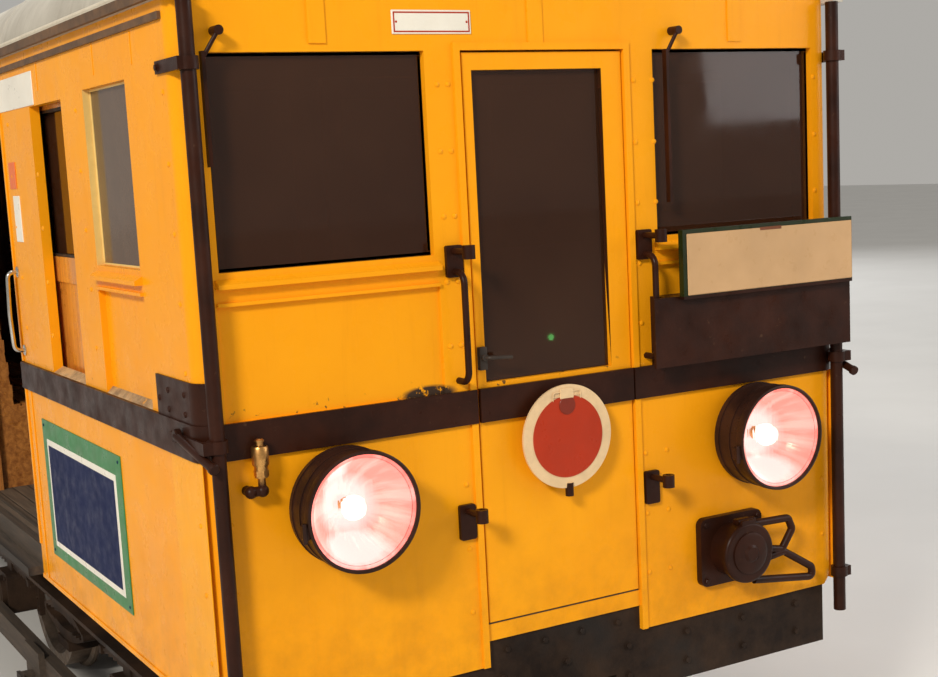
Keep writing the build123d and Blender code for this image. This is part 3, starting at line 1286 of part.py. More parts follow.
def underfloor_boxes():
    """Resistor case, battery box and compressor case hung from the cross bearers."""
    top = UNDERFRAME_BOTTOM
    case_top = top - CASE_DROP
    pieces = []
    for x0, x1, y0, y1, z0 in UNDERFLOOR_BOXES:
        case = block(x0, x1, y0, y1, z0, case_top)
        case = fillet(case.edges().filter_by(Axis.X), CASE_ROUND)
        for i in range(CASE_RIBS):
            x = x0 + (x1 - x0) * (i + 0.5) / CASE_RIBS
            case += block(x - CASE_RIB_WIDTH / 2, x + CASE_RIB_WIDTH / 2, y0 - CASE_RIB, y1 + CASE_RIB,
                          z0 - CASE_RIB, case_top)
        case += block(x0, x1, y0 + CASE_RAIL_INSET, y1 - CASE_RAIL_INSET, case_top - CASE_RIB, top)
        pieces.append(case)
    return group(pieces)


def air_reservoirs():
    """Air tanks with rounded ends, strapped under the floor."""
    top = UNDERFRAME_BOTTOM
    rear, front = MIDDLE_BEARERS[-1], MIDDLE_BEARERS[-2]
    pieces = []
    for inset, y, radius in RESERVOIRS:
        x0, x1 = rear + inset, front - inset
        tank = rod((x0, y, RESERVOIR_Z), (x1, y, RESERVOIR_Z), radius)
        tank = chamfer(tank.edges().filter_by(GeomType.CIRCLE), radius / 3)
        for x in (x0 + STRAP_INSET, x1 - STRAP_INSET):
            a, b = x - STRAP_WIDTH / 2, x + STRAP_WIDTH / 2
            tank += rod((a, y, RESERVOIR_Z), (b, y, RESERVOIR_Z), radius + STRAP)
            tank += block(a, b, y - HANGER_HALF, y + HANGER_HALF, RESERVOIR_Z, top)
        tank += block(rear, front, y - HANGER_HALF, y + HANGER_HALF, top - HANGER_PLATE, top)
        pieces.append(tank)
    return group(pieces)


def wheelset():
    """An axle with its two wheels, turning about Y, at the origin."""
    back, outer = WHEEL_BACK, WHEEL_OUTER
    web_in, web_out = back + WEB_INNER, back + WEB_OUTER
    rim = TREAD_RADIUS - TYRE_DEPTH
    half = [(0, 0), (AXLE_RADIUS, 0), (AXLE_RADIUS, back - HUB_PROUD), (HUB, back - HUB_PROUD),
            (HUB, web_in - WEB_FLARE), (WEB_HUB, web_in), (rim - RIM_FLARE, web_in), (rim, back)]
    half += [(FLANGE_RADIUS - drop, back + out) for drop, out in FLANGE_PROFILE]
    half += [(TREAD_RADIUS - TREAD_CONE, outer), (rim, outer), (rim - RIM_FLARE, web_out),
             (WEB_HUB, web_out), (HUB, web_out + WEB_FLARE), (HUB, outer + HUB_PROUD),
             (JOURNAL_RADIUS, outer + WEB_FLARE), (JOURNAL_RADIUS, JOURNAL_END), (0, JOURNAL_END)]
    one = revolve(Plane.XY * make_face(Polyline(*half, close=True)), Axis.Y)
    return one + mirror(one, about=Plane.XZ)


def side_plate():
    """One side plate of the bogie with horn openings for the axle boxes, from y = 0 outwards."""
    axle = WHEELBASE / 2
    horn = AXLE_BOX_HALF + HORN_GAP
    cheek = horn + HORN_CHEEK
    foot = cheek - HORN_TAPER
    half = [(0, PLATE_TOP), (axle - PLATE_SLOPE_FOOT, PLATE_TOP), (axle - PLATE_SLOPE_HEAD, PLATE_ARM_TOP),
            (PLATE_END - PLATE_END_CUT, PLATE_ARM_TOP), (PLATE_END, PLATE_ARM_TOP - PLATE_END_DROP),
            (PLATE_END, PLATE_ARM_TOP - PLATE_END_FOOT), (axle + cheek, PLATE_ARM_BOTTOM),
            (axle + foot, HORN_BOTTOM), (axle + horn, HORN_BOTTOM), (axle + horn, HORN_TOP),
            (axle - horn, HORN_TOP), (axle - horn, HORN_BOTTOM), (axle - foot, HORN_BOTTOM),
            (axle - cheek, PLATE_ARM_BOTTOM), (axle - PLATE_BELLY_END, PLATE_MIDDLE_BOTTOM),
            (0, PLATE_MIDDLE_BOTTOM)]
    points = half + [(-x, z) for x, z in reversed(half[1:-1])]
    face = make_face(Polyline(*points, close=True))
    face -= Pos(0, (PLATE_TOP + PLATE_MIDDLE_BOTTOM) / 2) * SlotOverall(*PLATE_SLOT)
    hole_z = (PLATE_ARM_TOP + PLATE_MIDDLE_BOTTOM) / 2
    for side in (-1, 1):
        face -= Pos(side * PLATE_HOLE_X, hole_z) * Circle(PLATE_HOLE_RADIUS)
    return extrude(Plane.XZ * face, -SIDE_PLATE)


def leaf_pack(length, count, camber, upward):
    """A pack of curved leaves, longest on the outer curve, in the XZ plane, centred on y = 0."""
    pack = None
    sign = 1 if upward else -1
    for i in range(count):
        half = length / 2 * (1 - i / (count + 1.5))
        drop = camber * (half / (length / 2)) ** 2
        z = -sign * i * SPRING_LEAF
        outer = ThreePointArc((-half, z - sign * drop), (0, z), (half, z - sign * drop))
        inner = ThreePointArc((half, z - sign * (drop + SPRING_LEAF)), (0, z - sign * SPRING_LEAF),
                              (-half, z - sign * (drop + SPRING_LEAF)))
        ends = Line(outer @ 1, inner @ 0) + Line(inner @ 1, outer @ 0)
        leaf = extrude(Plane.XZ * make_face(outer + inner + ends), SPRING_WIDTH / 2, both=True)
        pack = leaf if pack is None else pack + leaf
    return pack


def spring_y():
    """Y of the middle of the springs beside the left side plate."""
    return SIDE_PLATE_Y + SIDE_PLATE + SPRING_OUT + SPRING_WIDTH / 2


def axle_box():
    """An axle box with a blind bearing bore and its guide strips, around the origin, on the car's left."""
    inner = SIDE_PLATE_Y - AXLE_BOX_IN
    box = block(-AXLE_BOX_HALF, AXLE_BOX_HALF, inner, AXLE_BOX_OUT, -AXLE_BOX_HALF, AXLE_BOX_HALF)
    box = fillet(box.edges().filter_by(Axis.Y), AXLE_BOX_ROUND)
    outwards = Rot(-90, 0, 0)
    cap = Pos(0, AXLE_BOX_OUT, 0) * outwards * extrude(Circle(AXLE_BOX_CAP_RADIUS), AXLE_BOX_CAP)
    bore = extrude(Circle(JOURNAL_RADIUS + RUNNING_GAP), JOURNAL_END + RUNNING_GAP - inner + CUT)
    box = box + cap - Pos(0, inner - CUT, 0) * outwards * bore
    for side in (-1, 1):
        x = side * (AXLE_BOX_HALF + HORN_GAP / 2)
        box += Pos(x, SIDE_PLATE_Y + SIDE_PLATE / 2, 0) * Box(HORN_GAP, SIDE_PLATE, HORN_GUIDE_HEIGHT)
    return box


def axle_spring():
    """An axle box with the leaf spring that rests on it and the brackets that hold the spring's ends."""
    y = spring_y()
    seat = AXLE_BOX_HALF
    top = seat + SPRING_SEAT + LEAF_COUNT * SPRING_LEAF
    gear = axle_box() + Pos(0, y, top) * leaf_pack(LEAF_LENGTH, LEAF_COUNT, SPRING_CAMBER, True)
    wall = SPRING_WIDTH / 2 + BUCKLE_WALL
    gear += block(-BUCKLE_HALF, BUCKLE_HALF, y - wall, y + wall, seat - BUCKLE_WALL, top + BUCKLE_WALL)
    for side in (-1, 1):
        x = side * (LEAF_LENGTH / 2 - HANGER_SETBACK)
        z = top - SPRING_CAMBER
        gear += block(x - HANGER_WIDTH / 2, x + HANGER_WIDTH / 2, SIDE_PLATE_Y + SIDE_PLATE, y + wall,
                      z - BUCKLE_WALL, z + HANGER_HEIGHT - BUCKLE_WALL)
    return gear


def spring_gear():
    """All axle boxes and springs of a bogie, as separate pieces."""
    pieces = both_sides(bolster_spring())
    for way in (-1, 1):
        pieces += both_sides(Pos(way * WHEELBASE / 2, 0, AXLE_Z) * axle_spring())
    return group(pieces)


def bogie_frame():
    """Side plates, transoms and bolster, with the planks that carry the bolster's springs."""
    half = Pos(0, SIDE_PLATE_Y, 0) * side_plate() + bolster_end()
    frame = half + mirror(half, about=Plane.XZ)
    end = SIDE_PLATE_Y + TRANSOM_END
    for way in (-1, 1):
        x = way * TRANSOM_X
        frame += block(x - TRANSOM_WIDTH / 2, x + TRANSOM_WIDTH / 2, -end, end, TRANSOM_BOTTOM,
                       TRANSOM_TOP)
    return frame + bolster()


def bolster():
    """The bolster over the transoms with its centre plate."""
    half_x = TRANSOM_X - TRANSOM_WIDTH / 2 - BOLSTER_GAP
    top = BOLSTER_TOP
    step = BOLSTER_GAP / 2
    beam = block(-half_x, half_x, -SIDE_PLATE_Y, SIDE_PLATE_Y, top - BOLSTER_HEIGHT, top - step)
    beam += block(-TRANSOM_X, TRANSOM_X, -BOLSTER_SEAT_HALF, BOLSTER_SEAT_HALF, BOLSTER_SEAT_BOTTOM,
                  top - BOLSTER_HEIGHT + step)
    beam += Pos(0, 0, top - 2 * step) * extrude(Circle(CENTRE_PLATE_RADIUS + 2 * step), 2 * step)
    return beam


def bolster_spring():
    """The elliptic spring under one end of the bolster."""
    rise = BOLSTER_SPRING_CAMBER + SPRING_LEAF
    length, count = BOLSTER_SPRING_LENGTH, BOLSTER_SPRING_LEAVES
    spring = Pos(0, 0, rise) * leaf_pack(length, count, BOLSTER_SPRING_CAMBER, True)
    spring += Pos(0, 0, -rise) * leaf_pack(length, count, BOLSTER_SPRING_CAMBER, False)
    for side in (-1, 1):
        x = side * (length / 2 - SPRING_EYE / 2)
        spring += Pos(x, 0, 0) * Rot(90, 0, 0) * Cylinder(SPRING_EYE, SPRING_WIDTH)
    return Pos(0, spring_y(), BOLSTER_SPRING_Z) * spring


def bolster_end():
    """The left end of the bolster over its spring, and the plank below the spring."""
    rise = BOLSTER_SPRING_CAMBER + SPRING_LEAF + RUNNING_GAP
    out = spring_y() + SPRING_WIDTH / 2 + BUCKLE_WALL
    top = BOLSTER_TOP
    end = block(-BOLSTER_END_HALF, BOLSTER_END_HALF, SIDE_PLATE_Y - BOLSTER_GAP, out,
                BOLSTER_SPRING_Z + rise, top - BOLSTER_GAP)
    plank_top = BOLSTER_SPRING_Z - rise
    inner = SIDE_PLATE_Y - PLANK_HEIGHT
    plank = block(-PLANK_HALF, PLANK_HALF, inner, out, plank_top - PLANK_HEIGHT, plank_top)
    plank += block(-PLANK_HALF, PLANK_HALF, inner, SIDE_PLATE_Y + SIDE_PLATE, plank_top - PLANK_HEIGHT,
                   TRANSOM_BOTTOM)
    return end + plank


def brake_gear():
    """Four brake blocks on hangers at the inner sides of the wheels, on tubes from the side plates."""
    inner = TREAD_RADIUS + SHOE_GAP
    outer = inner + SHOE_THICKNESS
    wheel_middle = (WHEEL_BACK + WHEEL_OUTER) / 2 + WEB_INNER / 3
    pieces = []
    for way in (-1, 1):
        ring = extrude(Plane.XZ * (Circle(outer) - Circle(inner)), SHOE_WIDTH / 2, both=True)
        wedge = extrude(Plane.XZ * make_face(Polyline(
            (0, 0), (-way * SHOE_SPREAD_AT, -SHOE_SPREAD), (-way * SHOE_SPREAD_AT, SHOE_SPREAD),
            close=True)), SHOE_WIDTH, both=True)
        axle_x = way * WHEELBASE / 2
        shoe = Pos(axle_x, wheel_middle, AXLE_Z) * (ring & wedge)
        x = axle_x - way * outer
        half = BRAKE_HANGER / 2
        hanger = block(x - half, x + half, wheel_middle - half, wheel_middle + half, AXLE_Z - half,
                       BRAKE_HANGER_TOP)
        tube = rod((x, wheel_middle, BRAKE_TUBE_Z), (x, SIDE_PLATE_Y, BRAKE_TUBE_Z), BRAKE_TUBE)
        pieces += both_sides(tube + shoe + hanger)
    return group(pieces)


def motor():
    """The traction motor, one plain block with round edges, hung from the inner transom."""
    face = RectangleRounded(2 * MOTOR_RADIUS, 2 * MOTOR_RADIUS, MOTOR_ROUND)
    case = extrude(Plane.XZ * face, MOTOR_LENGTH / 2, both=True)
    case = Pos(MOTOR_X, 0, MOTOR_Z) * case
    half, z0, z1 = MOTOR_NOSE
    nose = block(MOTOR_X + MOTOR_RADIUS - CUT, -TRANSOM_X - TRANSOM_WIDTH / 2, -half, half, z0, z1)
    return case + nose


def collector_gear():
    """The wooden beams at the axle boxes with the current collector shoes in their middle."""
    y0 = AXLE_BOX_OUT + AXLE_BOX_CAP
    out = y0 + BEAM_WIDTH
    beam_top = BEAM_Z + BEAM_HEIGHT
    beam = block(-BEAM_HALF, BEAM_HALF, y0, out, BEAM_Z, beam_top)
    for way in (-1, 1):
        x = way * WHEELBASE / 2
        beam += block(x - BEAM_STRAP_HALF, x + BEAM_STRAP_HALF, y0, y0 + BEAM_STRAP, beam_top,
                      AXLE_Z + BEAM_STRAP_RISE)
    middle = BEAM_Z + BEAM_HEIGHT / 2
    length, depth, height = COLLECTOR_HEAD
    beam += Pos(0, out + depth / 2, middle) * Box(length, depth, height)
    link_length, link = COLLECTOR_LINK
    link_y = SHOE_REACH - BEAM_WIDTH - link
    arm_width, arm_height = COLLECTOR_ARM
    beam += block(-arm_width / 2, arm_width / 2, out, link_y + link, BEAM_Z, BEAM_Z + arm_height)
    shoe_length, shoe = COLLECTOR_SHOE
    shoe_z = BEAM_Z - COLLECTOR_DROP
    beam += block(-shoe_length / 2, shoe_length / 2, out + depth, SHOE_REACH, shoe_z, shoe_z + shoe)
    beam += block(-link_length / 2, link_length / 2, link_y, link_y + link, shoe_z, BEAM_Z + arm_height)
    return group(both_sides(beam))


def place_bogie(shape, end):
    """A bogie piece moved to the front (1) or, turned half round, to the rear (-1)."""
    turned = shape if end > 0 else Rot(0, 0, 180) * shape
    return Pos(end * BOGIE_CENTRE, 0, 0) * turned


def wheelsets():
    """The four wheelsets from the front, by name."""
    one = wheelset()
    named = {}
    number = 1
    for end in (1, -1):
        for way in (1, -1):
            x = end * BOGIE_CENTRE + way * WHEELBASE / 2
            named["wheelset_%d" % number] = Pos(x, 0, AXLE_Z) * one
            number += 1
    return named


def floor():
    """The floor slab from skin to skin."""
    end = HALF_LENGTH - END_WALL
    between_walls = at_s(CORNER_RADIUS)
    half = HALF_WIDTH - CORNER_RADIUS
    slab = block(-between_walls, between_walls, -POST_Y, POST_Y, FLOOR_BOTTOM, FLOOR_TOP)
    return slab + block(-end, end, -half, half, FLOOR_BOTTOM, FLOOR_TOP)


def walled_end():
    """The front end wall with its half of the hinges."""
    wall = end_wall()
    for piece in end_hinges()[1]:
        wall += piece
    return wall


def partitions():
    """Both partitions with their hinge barrels."""
    wall = cab_partition()
    for piece in cab_hinges()[1]:
        wall += piece
    return group(both_ends(wall))


def all_glass():
    """Every fixed pane of the car."""
    panes = [glass()]
    for pane in partition_glass():
        panes += both_ends(pane)
    return group(panes)


def nodes():
    """Every piece of the car by its node's name."""
    turn = Rot(0, 0, 180)
    front_wall = walled_end()
    right_wall = side_wall()
    rail = cantrail()
    door = end_door()
    inner_door = cab_door()
    frame = bogie_frame()
    springs = spring_gear()
    brakes = brake_gear()
    drive = motor()
    collectors = collector_gear()
    front_coupler = coupler()
    parts = {
        "floor": floor(),
        "sole_bars": sole_bars(),
        "cross_bearers": cross_bearers(),
        "side_wall_right": right_wall,
        "side_wall_left": mirror(right_wall, about=Plane.XZ),
        "wall_posts": group(both_sides(wall_posts())),
        "wall_linings": group(both_sides(wall_linings())),
        "cantrails": group(both_sides(rail)),
        "roof": roof(),
        "end_wall_front": front_wall,
        "end_wall_rear": turn * front_wall,
        "window_glass": all_glass(),
        "waist_band": waist_band(),
        "corner_poles": corner_poles(),
        "corner_plates": corner_plates(),
        "headlight_drums": at_lamps(lamp_drum()),
        "headlight_glass": at_lamps(lamp_lens()),
        "destination_boards": destination_boards(),
        "board_holders": board_holders(),
        "gate_brackets": gate_brackets(),
        "air_cocks": air_cocks(),
        "jumper_sockets": jumper_sockets(),
        "wipers": wipers(),
        "door_sills": door_sills(),
        "cab_partitions": partitions(),
        "driver_desks": driver_desks(),
        "benches": benches(),
        "grab_poles": grab_poles(),
        "underfloor_boxes": underfloor_boxes(),
        "air_reservoirs": air_reservoirs(),
        "end_door_front": door,
        "end_door_rear": turn * door,
        "signal_disc": signal_disc(),
        "cab_door_front": inner_door,
        "cab_door_rear": turn * inner_door,
        "coupler_front": front_coupler,
        "coupler_rear": turn * front_coupler,
        "bogie_frame_front": place_bogie(frame, 1),
        "bogie_frame_rear": place_bogie(frame, -1),
        "spring_gear_front": place_bogie(springs, 1),
        "spring_gear_rear": place_bogie(springs, -1),
        "brake_gear_front": place_bogie(brakes, 1),
        "brake_gear_rear": place_bogie(brakes, -1),
        "motor_front": place_bogie(drive, 1),
        "motor_rear": place_bogie(drive, -1),
        "collector_gear_front": place_bogie(collectors, 1),
        "collector_gear_rear": place_bogie(collectors, -1),
    }
    parts.update(wheelsets())
    for name, side, middle, way, is_open in leaves():
        parts[name] = door_leaf(side, middle, way, is_open)
    return parts


os.makedirs("parts", exist_ok=True)
for node_name, node_shape in nodes().items():
    export_step(node_shape, "parts/%s.step" % node_name)
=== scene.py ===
"""Looks of the metro motor car, in metres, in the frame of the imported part.

+X is forward, +Y the car's left and +Z up. What is at both ends is made at the front, and its copy is
turned half round for the rear. What is at all four quarters is made at the front right and mirrored.
"""
import math
from itertools import product

import bmesh
import bpy
from mathutils import Matrix, Vector


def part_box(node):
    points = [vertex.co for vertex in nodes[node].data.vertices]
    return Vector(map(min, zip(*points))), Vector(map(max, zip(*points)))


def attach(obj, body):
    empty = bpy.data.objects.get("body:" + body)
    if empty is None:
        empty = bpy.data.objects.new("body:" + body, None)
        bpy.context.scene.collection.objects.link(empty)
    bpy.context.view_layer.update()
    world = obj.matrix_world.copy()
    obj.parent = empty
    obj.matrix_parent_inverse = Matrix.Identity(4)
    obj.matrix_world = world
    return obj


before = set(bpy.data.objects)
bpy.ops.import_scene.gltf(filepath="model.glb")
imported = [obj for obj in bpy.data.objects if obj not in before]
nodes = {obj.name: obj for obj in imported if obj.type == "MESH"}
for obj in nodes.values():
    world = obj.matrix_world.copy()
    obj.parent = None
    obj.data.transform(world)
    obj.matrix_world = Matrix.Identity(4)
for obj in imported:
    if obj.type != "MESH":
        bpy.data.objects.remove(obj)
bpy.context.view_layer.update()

BODY = "body"
FRONT_DOOR = "end_door_front"
# X of the front's face, and Y of the right side's face
FRONT = 6.35
HALF_WIDTH = 1.15
SKIN = -HALF_WIDTH
HALF_TURN = Matrix.Rotation(math.pi, 4, "Z")
FLIP_SIDE = Matrix.Scale(-1, 4, (0, 1, 0))
FORWARD = (1, 0, 0)
BACKWARD = (-1, 0, 0)
UP = (0, 0, 1)
DOWN = (0, 0, -1)
TO_RIGHT = (0, -1, 0)
SIDES = (-1, 1)
# How deep a piece sits in what carries it, and how far a painted face may lie outside its range
SINK = 0.0005
SLACK = 0.001

BAND_BOTTOM = 1.61
BAND_TOP = 1.712
WINDOW_SILL = 2.121
SIDE_WINDOW_HEAD = 2.666
END_WINDOW_HEAD = 2.703
END_WINDOW_Y = (0.405, 1.066)
PANEL_BOTTOM = 0.848
ROOF_FOOT = 2.848
ROOF_CROWN = 3.17
ROOF_HALF = 1.165
ROOF_SHOULDER = 0.24
DOORWAY_X = (3.15, 4.35)
DOORWAY_MIDDLE = 3.75
# Panes of the end doors: lowest and highest y, lowest and highest z, at the front
END_DOOR_PANE = (-0.25, 0.21, 1.727, 2.647)
LEAF_GLASS = (2.127, 2.64)
CAB_DOOR_PANE = (2.06, 2.624)
CAB_SPAN = (5.49, 5.93)
SALOON_SPANS = [(-2.05, -0.777), (-0.637, 0.637), (0.777, 2.05)]
DISC_X = 6.396
DISC_Z = 1.536
LAMP_Y = 0.757
LAMP_Z = 1.443
LAMP_DEPTH = 0.168
LAMP_RADIUS = 0.172
SOCKET_Y = 0.655
SOCKET_Z = 1.062
BOARD_X = FRONT + 0.11
BOARD_Y = 0.776
LAMPS = [(FRONT, -LAMP_Y, LAMP_Z), (FRONT, LAMP_Y, LAMP_Z)]
GAUGES = [(FRONT - 0.0605, -0.8, 2.02), (FRONT - 0.0605, -0.62, 2.02)]
RIVET = 0.0085
RIVET_RISE = 0.005
UPPER_RIVETS = (2.608, 2.418, 2.23, 2.04, 1.85)
LOWER_RIVETS = (1.428, 1.23, 1.032)
# Distance from the front of the rivets that stand on the corner's cover plate, and its thickness
COVER_RIVETS = 0.058
COVER_RISE = 0.0028
# Blank plate on the lower side panel: lowest and highest x, lowest and highest z
ADVERT = (4.57, 5.56, 0.99, 1.515)
# Rise over the skin of its back and of its white frame
ADVERT_RISES = (0.004, 0.0058)
CEILING_LAMPS = [(-4.5 + 1.5 * i, 0, ROOF_CROWN - 0.04) for i in range(7)]
BOGIE_X = 3.9
WHEEL_X = 0.95
AXLE_Z = 0.443
# Underfloor cases: lowest and highest x, y of the face, z of the foot, side
CASES = [
    (0.35, 1.95, -1.03, 0.4, -1),
    (-1.9, -0.3, -1.03, 0.38, -1),
    (0.5, 1.5, 1.02, 0.39, 1),
]
CASE_DOORS = 3

# Short names for the sockets of the main shader
SOCKETS = {
    "color": "Base Color", "rough": "Roughness", "metal": "Metallic", "specular": "Specular IOR Level",
    "coat": "Coat Weight", "coat_rough": "Coat Roughness", "clear": "Transmission Weight", "ior": "IOR",
    "lit": "Emission Color", "lit_strength": "Emission Strength", "normal": "Normal",
}
# Sockets of the colour mix: amount, first and second colour, and the result
MIX_AMOUNT, MIX_LOW, MIX_HIGH, MIX_RESULT = 0, 6, 7, 2


class Shader:
    """A material's main shader, with short calls for textures in object space."""

    def __init__(self, name, rough=0.5, metal=0.0, color=(0.5, 0.5, 0.5)):
        self.material = bpy.data.materials.new(name)
        self.material.use_nodes = True
        self.tree = self.material.node_tree
        self.main = self.tree.nodes["Principled BSDF"]
        self.place = self.node("TexCoord", {})["Object"]
        self.set(rough=rough, metal=metal, color=color)

    def fill(self, node, inputs):
        """Sets a node's sockets, or links them to outputs."""
        for key, value in inputs.items():
            target = node.inputs[key]
            if isinstance(value, bpy.types.NodeSocket):
                self.tree.links.new(value, target)
            elif target.type == "RGBA":
                target.default_value = (*value, 1)
            else:
                target.default_value = value

    def node(self, kind, inputs, **settings):
        """Adds a node and gives its outputs."""
        node = self.tree.nodes.new("ShaderNode" + kind)
        for key, value in settings.items():
            setattr(node, key, value)
        self.fill(node, inputs)
        return node.outputs

    def set(self, **values):
        """Sets or links sockets of the main shader."""
        self.fill(self.main, {SOCKETS[key]: value for key, value in values.items()})

    def stretched(self, scale):
        """Object space scaled apart along X, Y and Z."""
        return self.node("Mapping", {"Scale": scale, "Vector": self.place})["Vector"]

    def noise(self, scale, detail=3.0, rough=0.55, vector=None, distortion=0.0):
        inputs = {"Scale": scale, "Detail": detail, "Roughness": rough, "Distortion": distortion,
                  "Vector": vector or self.place}
        return self.node("TexNoise", inputs)["Fac"]

    def ramp(self, value, low, high, out_low=0.0, out_high=1.0):
        """A value carried from one range to another, held at its ends."""
        inputs = {"Value": value, "From Min": low, "From Max": high, "To Min": out_low, "To Max": out_high}
        return self.node("MapRange", inputs)["Result"]

    def patches(self, scale, detail, rough, low, high, out_low=0.0, out_high=1.0):
        """Noise as soft patches."""
        return self.ramp(self.noise(scale, detail, rough), low, high, out_low, out_high)

    def math(self, kind, a, b=0.0, c=0.0):
        return self.node("Math", {0: a, 1: b, 2: c}, operation=kind)["Value"]

    def times(self, a, b):
        return self.math("MULTIPLY", a, b)

    def length(self, a, b):
        """The length of a flat vector."""
        return self.math("SQRT", self.math("ADD", self.times(a, a), self.times(b, b)))

    def axis(self, name):
        """The place along X, Y or Z."""
        return self.node("SeparateXYZ", {"Vector": self.place})[name]

    def mix(self, amount, low, high):
        """Two colours or colour outputs mixed by an amount."""
        inputs = {MIX_AMOUNT: amount, MIX_LOW: low, MIX_HIGH: high}
        return self.node("Mix", inputs, data_type="RGBA")[MIX_RESULT]

    def bump(self, output, depth, strength=1.0):
        """Relief in metres, added to what is there."""
        inputs = {"Strength": strength, "Distance": depth, "Height": output}
        taken = self.main.inputs["Normal"].links
        if taken:
            inputs["Normal"] = taken[0].from_socket
        self.set(normal=self.node("Bump", inputs)["Normal"])

    def grain(self, depth, strength, *noise):
        """Relief in metres from noise."""
        self.bump(self.noise(*noise), depth, strength)

    def near(self, point, radius, soft, scale):
        """One inside an oval round a point, with a soft edge."""
        centre = [point[i] * scale[i] for i in range(3)]
        inputs = {0: self.stretched(scale), 1: centre}
        away = self.node("VectorMath", inputs, operation="DISTANCE")["Value"]
        return self.ramp(away, radius - soft, radius, 1.0, 0.0)


def yellow_paint(name="yellow_paint", deep=(0.9, 0.335, 0.005), light=(0.96, 0.39, 0.008)):
    """Thick enamel over uneven plate, darker low down from dust and from painted shade, and chipped by the
    band.
    """
    s = Shader(name)
    base = s.mix(s.patches(1.3, 4, 0.6, 0.3, 0.7), deep, light)
    streaks = s.noise(5.0, 5, 0.65, s.stretched((6.0, 6.0, 0.5)))
    base = s.mix(s.ramp(streaks, 0.54, 0.8, 0.0, 0.22), base, (0.66, 0.22, 0.004))
    # Darker towards the bottom, below 1.35 m: partly dust, partly painted shade.
    low_down = s.ramp(s.axis("Z"), 1.35, 0.84)
    dust_and_shade = s.times(low_down, s.patches(7.0, 6, 0.7, 0.4, 0.75))
    base = s.mix(s.times(dust_and_shade, 0.5), base, (0.36, 0.13, 0.01))
    from_band = s.math("ABSOLUTE", s.math("SUBTRACT", s.axis("Z"), 1.715))
    chips = s.times(s.patches(34.0, 4, 0.6, 0.64, 0.68), s.ramp(from_band, 0.0, 0.05, 1.0, 0.0))
    worn_spot = s.near((6.352, -0.445, 1.716), 0.1, 0.03, (1.0, 1.0, 3.4))
    patch = s.times(s.patches(40.0, 6, 0.7, 0.4, 0.45), worn_spot)
    chips = s.math("MAXIMUM", chips, patch)
    s.set(color=s.mix(chips, base, (0.05, 0.03, 0.02)), rough=s.patches(9.0, 4, 0.55, 0.3, 0.75, 0.2, 0.42),
          specular=0.1, coat=0.05, coat_rough=0.12)
    s.grain(0.01, 0.35, 3.2, 2, 0.5)
    s.grain(0.0003, 0.25, 120.0, 2, 0.5)
    s.bump(chips, 0.0006)
    return s.material


def patchy(name, colors, patch, rough, *bumps, spots=None, **values):
    """Two colours in soft patches and a third in spots.

    Roughness is one number, a pair for the first and second colour, or patches of its own.
    """
    s = Shader(name)
    mask = s.patches(*patch)
    color = s.mix(mask, colors[0], colors[1])
    if spots:
        color = s.mix(s.patches(*spots), color, colors[2])
    if isinstance(rough, tuple):
        rough = s.ramp(mask, 0, 1, *rough) if len(rough) == 2 else s.patches(*rough)
    s.set(color=color, rough=rough, **values)
    for bump in bumps:
        s.grain(*bump)
    return s.material


def black_paint(name="black_paint", tint=(0.02, 0.006, 0.003), wear=(0.11, 0.055, 0.03)):
    """Black enamel with brush marks, rubbed to brown here and there."""
    lighter = (tint[0] * 2.2, tint[1] * 2.0, tint[2] * 1.8)
    return patchy(name, (tint, lighter, wear), (6.0, 5, 0.65, 0.35, 0.75),
                  (14.0, 5, 0.55, 0.3, 0.75, 0.25, 0.55), (0.0008, 0.4, 90.0, 3, 0.6),
                  (0.003, 0.3, 11.0, 3, 0.5), spots=(26.0, 6, 0.7, 0.65, 0.76, 0.0, 0.7), specular=0.15)


def enamel(name, color, dirt, amount=0.35, rough=0.3):
    """A painted or enamelled plate with rubbed dirt."""
    darker = tuple(c * 0.86 for c in color)
    return patchy(name, (color, darker, dirt), (4.0, 4, 0.55, 0.35, 0.7),
                  (21.0, 4, 0.55, 0.3, 0.7, rough * 0.8, rough * 1.5), (0.0004, 0.4, 120.0, 2),
                  spots=(17.0, 6, 0.7, 0.45, 0.8, 0.0, amount), specular=0.3)


def polished_tube():
    """Rubbed bare steel with fine scratches."""
    s = Shader("polished_tube", metal=1.0)
    scratch = s.noise(60.0, 3, 0.6, s.stretched((1.0, 1.0, 14.0)))
    s.set(color=s.mix(s.patches(12.0, 4, 0.55, 0.35, 0.7), (0.7, 0.67, 0.6), (0.504, 0.4824, 0.432)),
          rough=s.ramp(scratch, 0.3, 0.7, 0.112, 0.24))
    s.bump(scratch, 0.0002, 0.4)
    return s.material


def varnished_wood(name="varnished_wood", light=(0.5, 0.2, 0.045), dark=(0.22, 0.07, 0.016), way=2):
    """Orange-brown varnished boards with grain along one axis."""
    s = Shader(name)
    scale = [9.0, 9.0, 9.0]
    scale[way] = 0.7
    lines = s.noise(5.0, 6, 0.62, s.stretched(scale), 0.6)
    fine = s.noise(34.0, 3, 0.6, s.stretched(scale))
    base = s.mix(s.ramp(lines, 0.35, 0.68), light, dark)
    base = s.mix(s.ramp(fine, 0.55, 0.75, 0.0, 0.5), base, tuple(c * 0.6 for c in dark))
    s.set(color=base, rough=s.patches(16.0, 4, 0.55, 0.3, 0.7, 0.22, 0.42), coat=0.5, coat_rough=0.12)
    s.bump(lines, 0.0012, 0.3)
    s.bump(fine, 0.0004, 0.3)
    return s.material


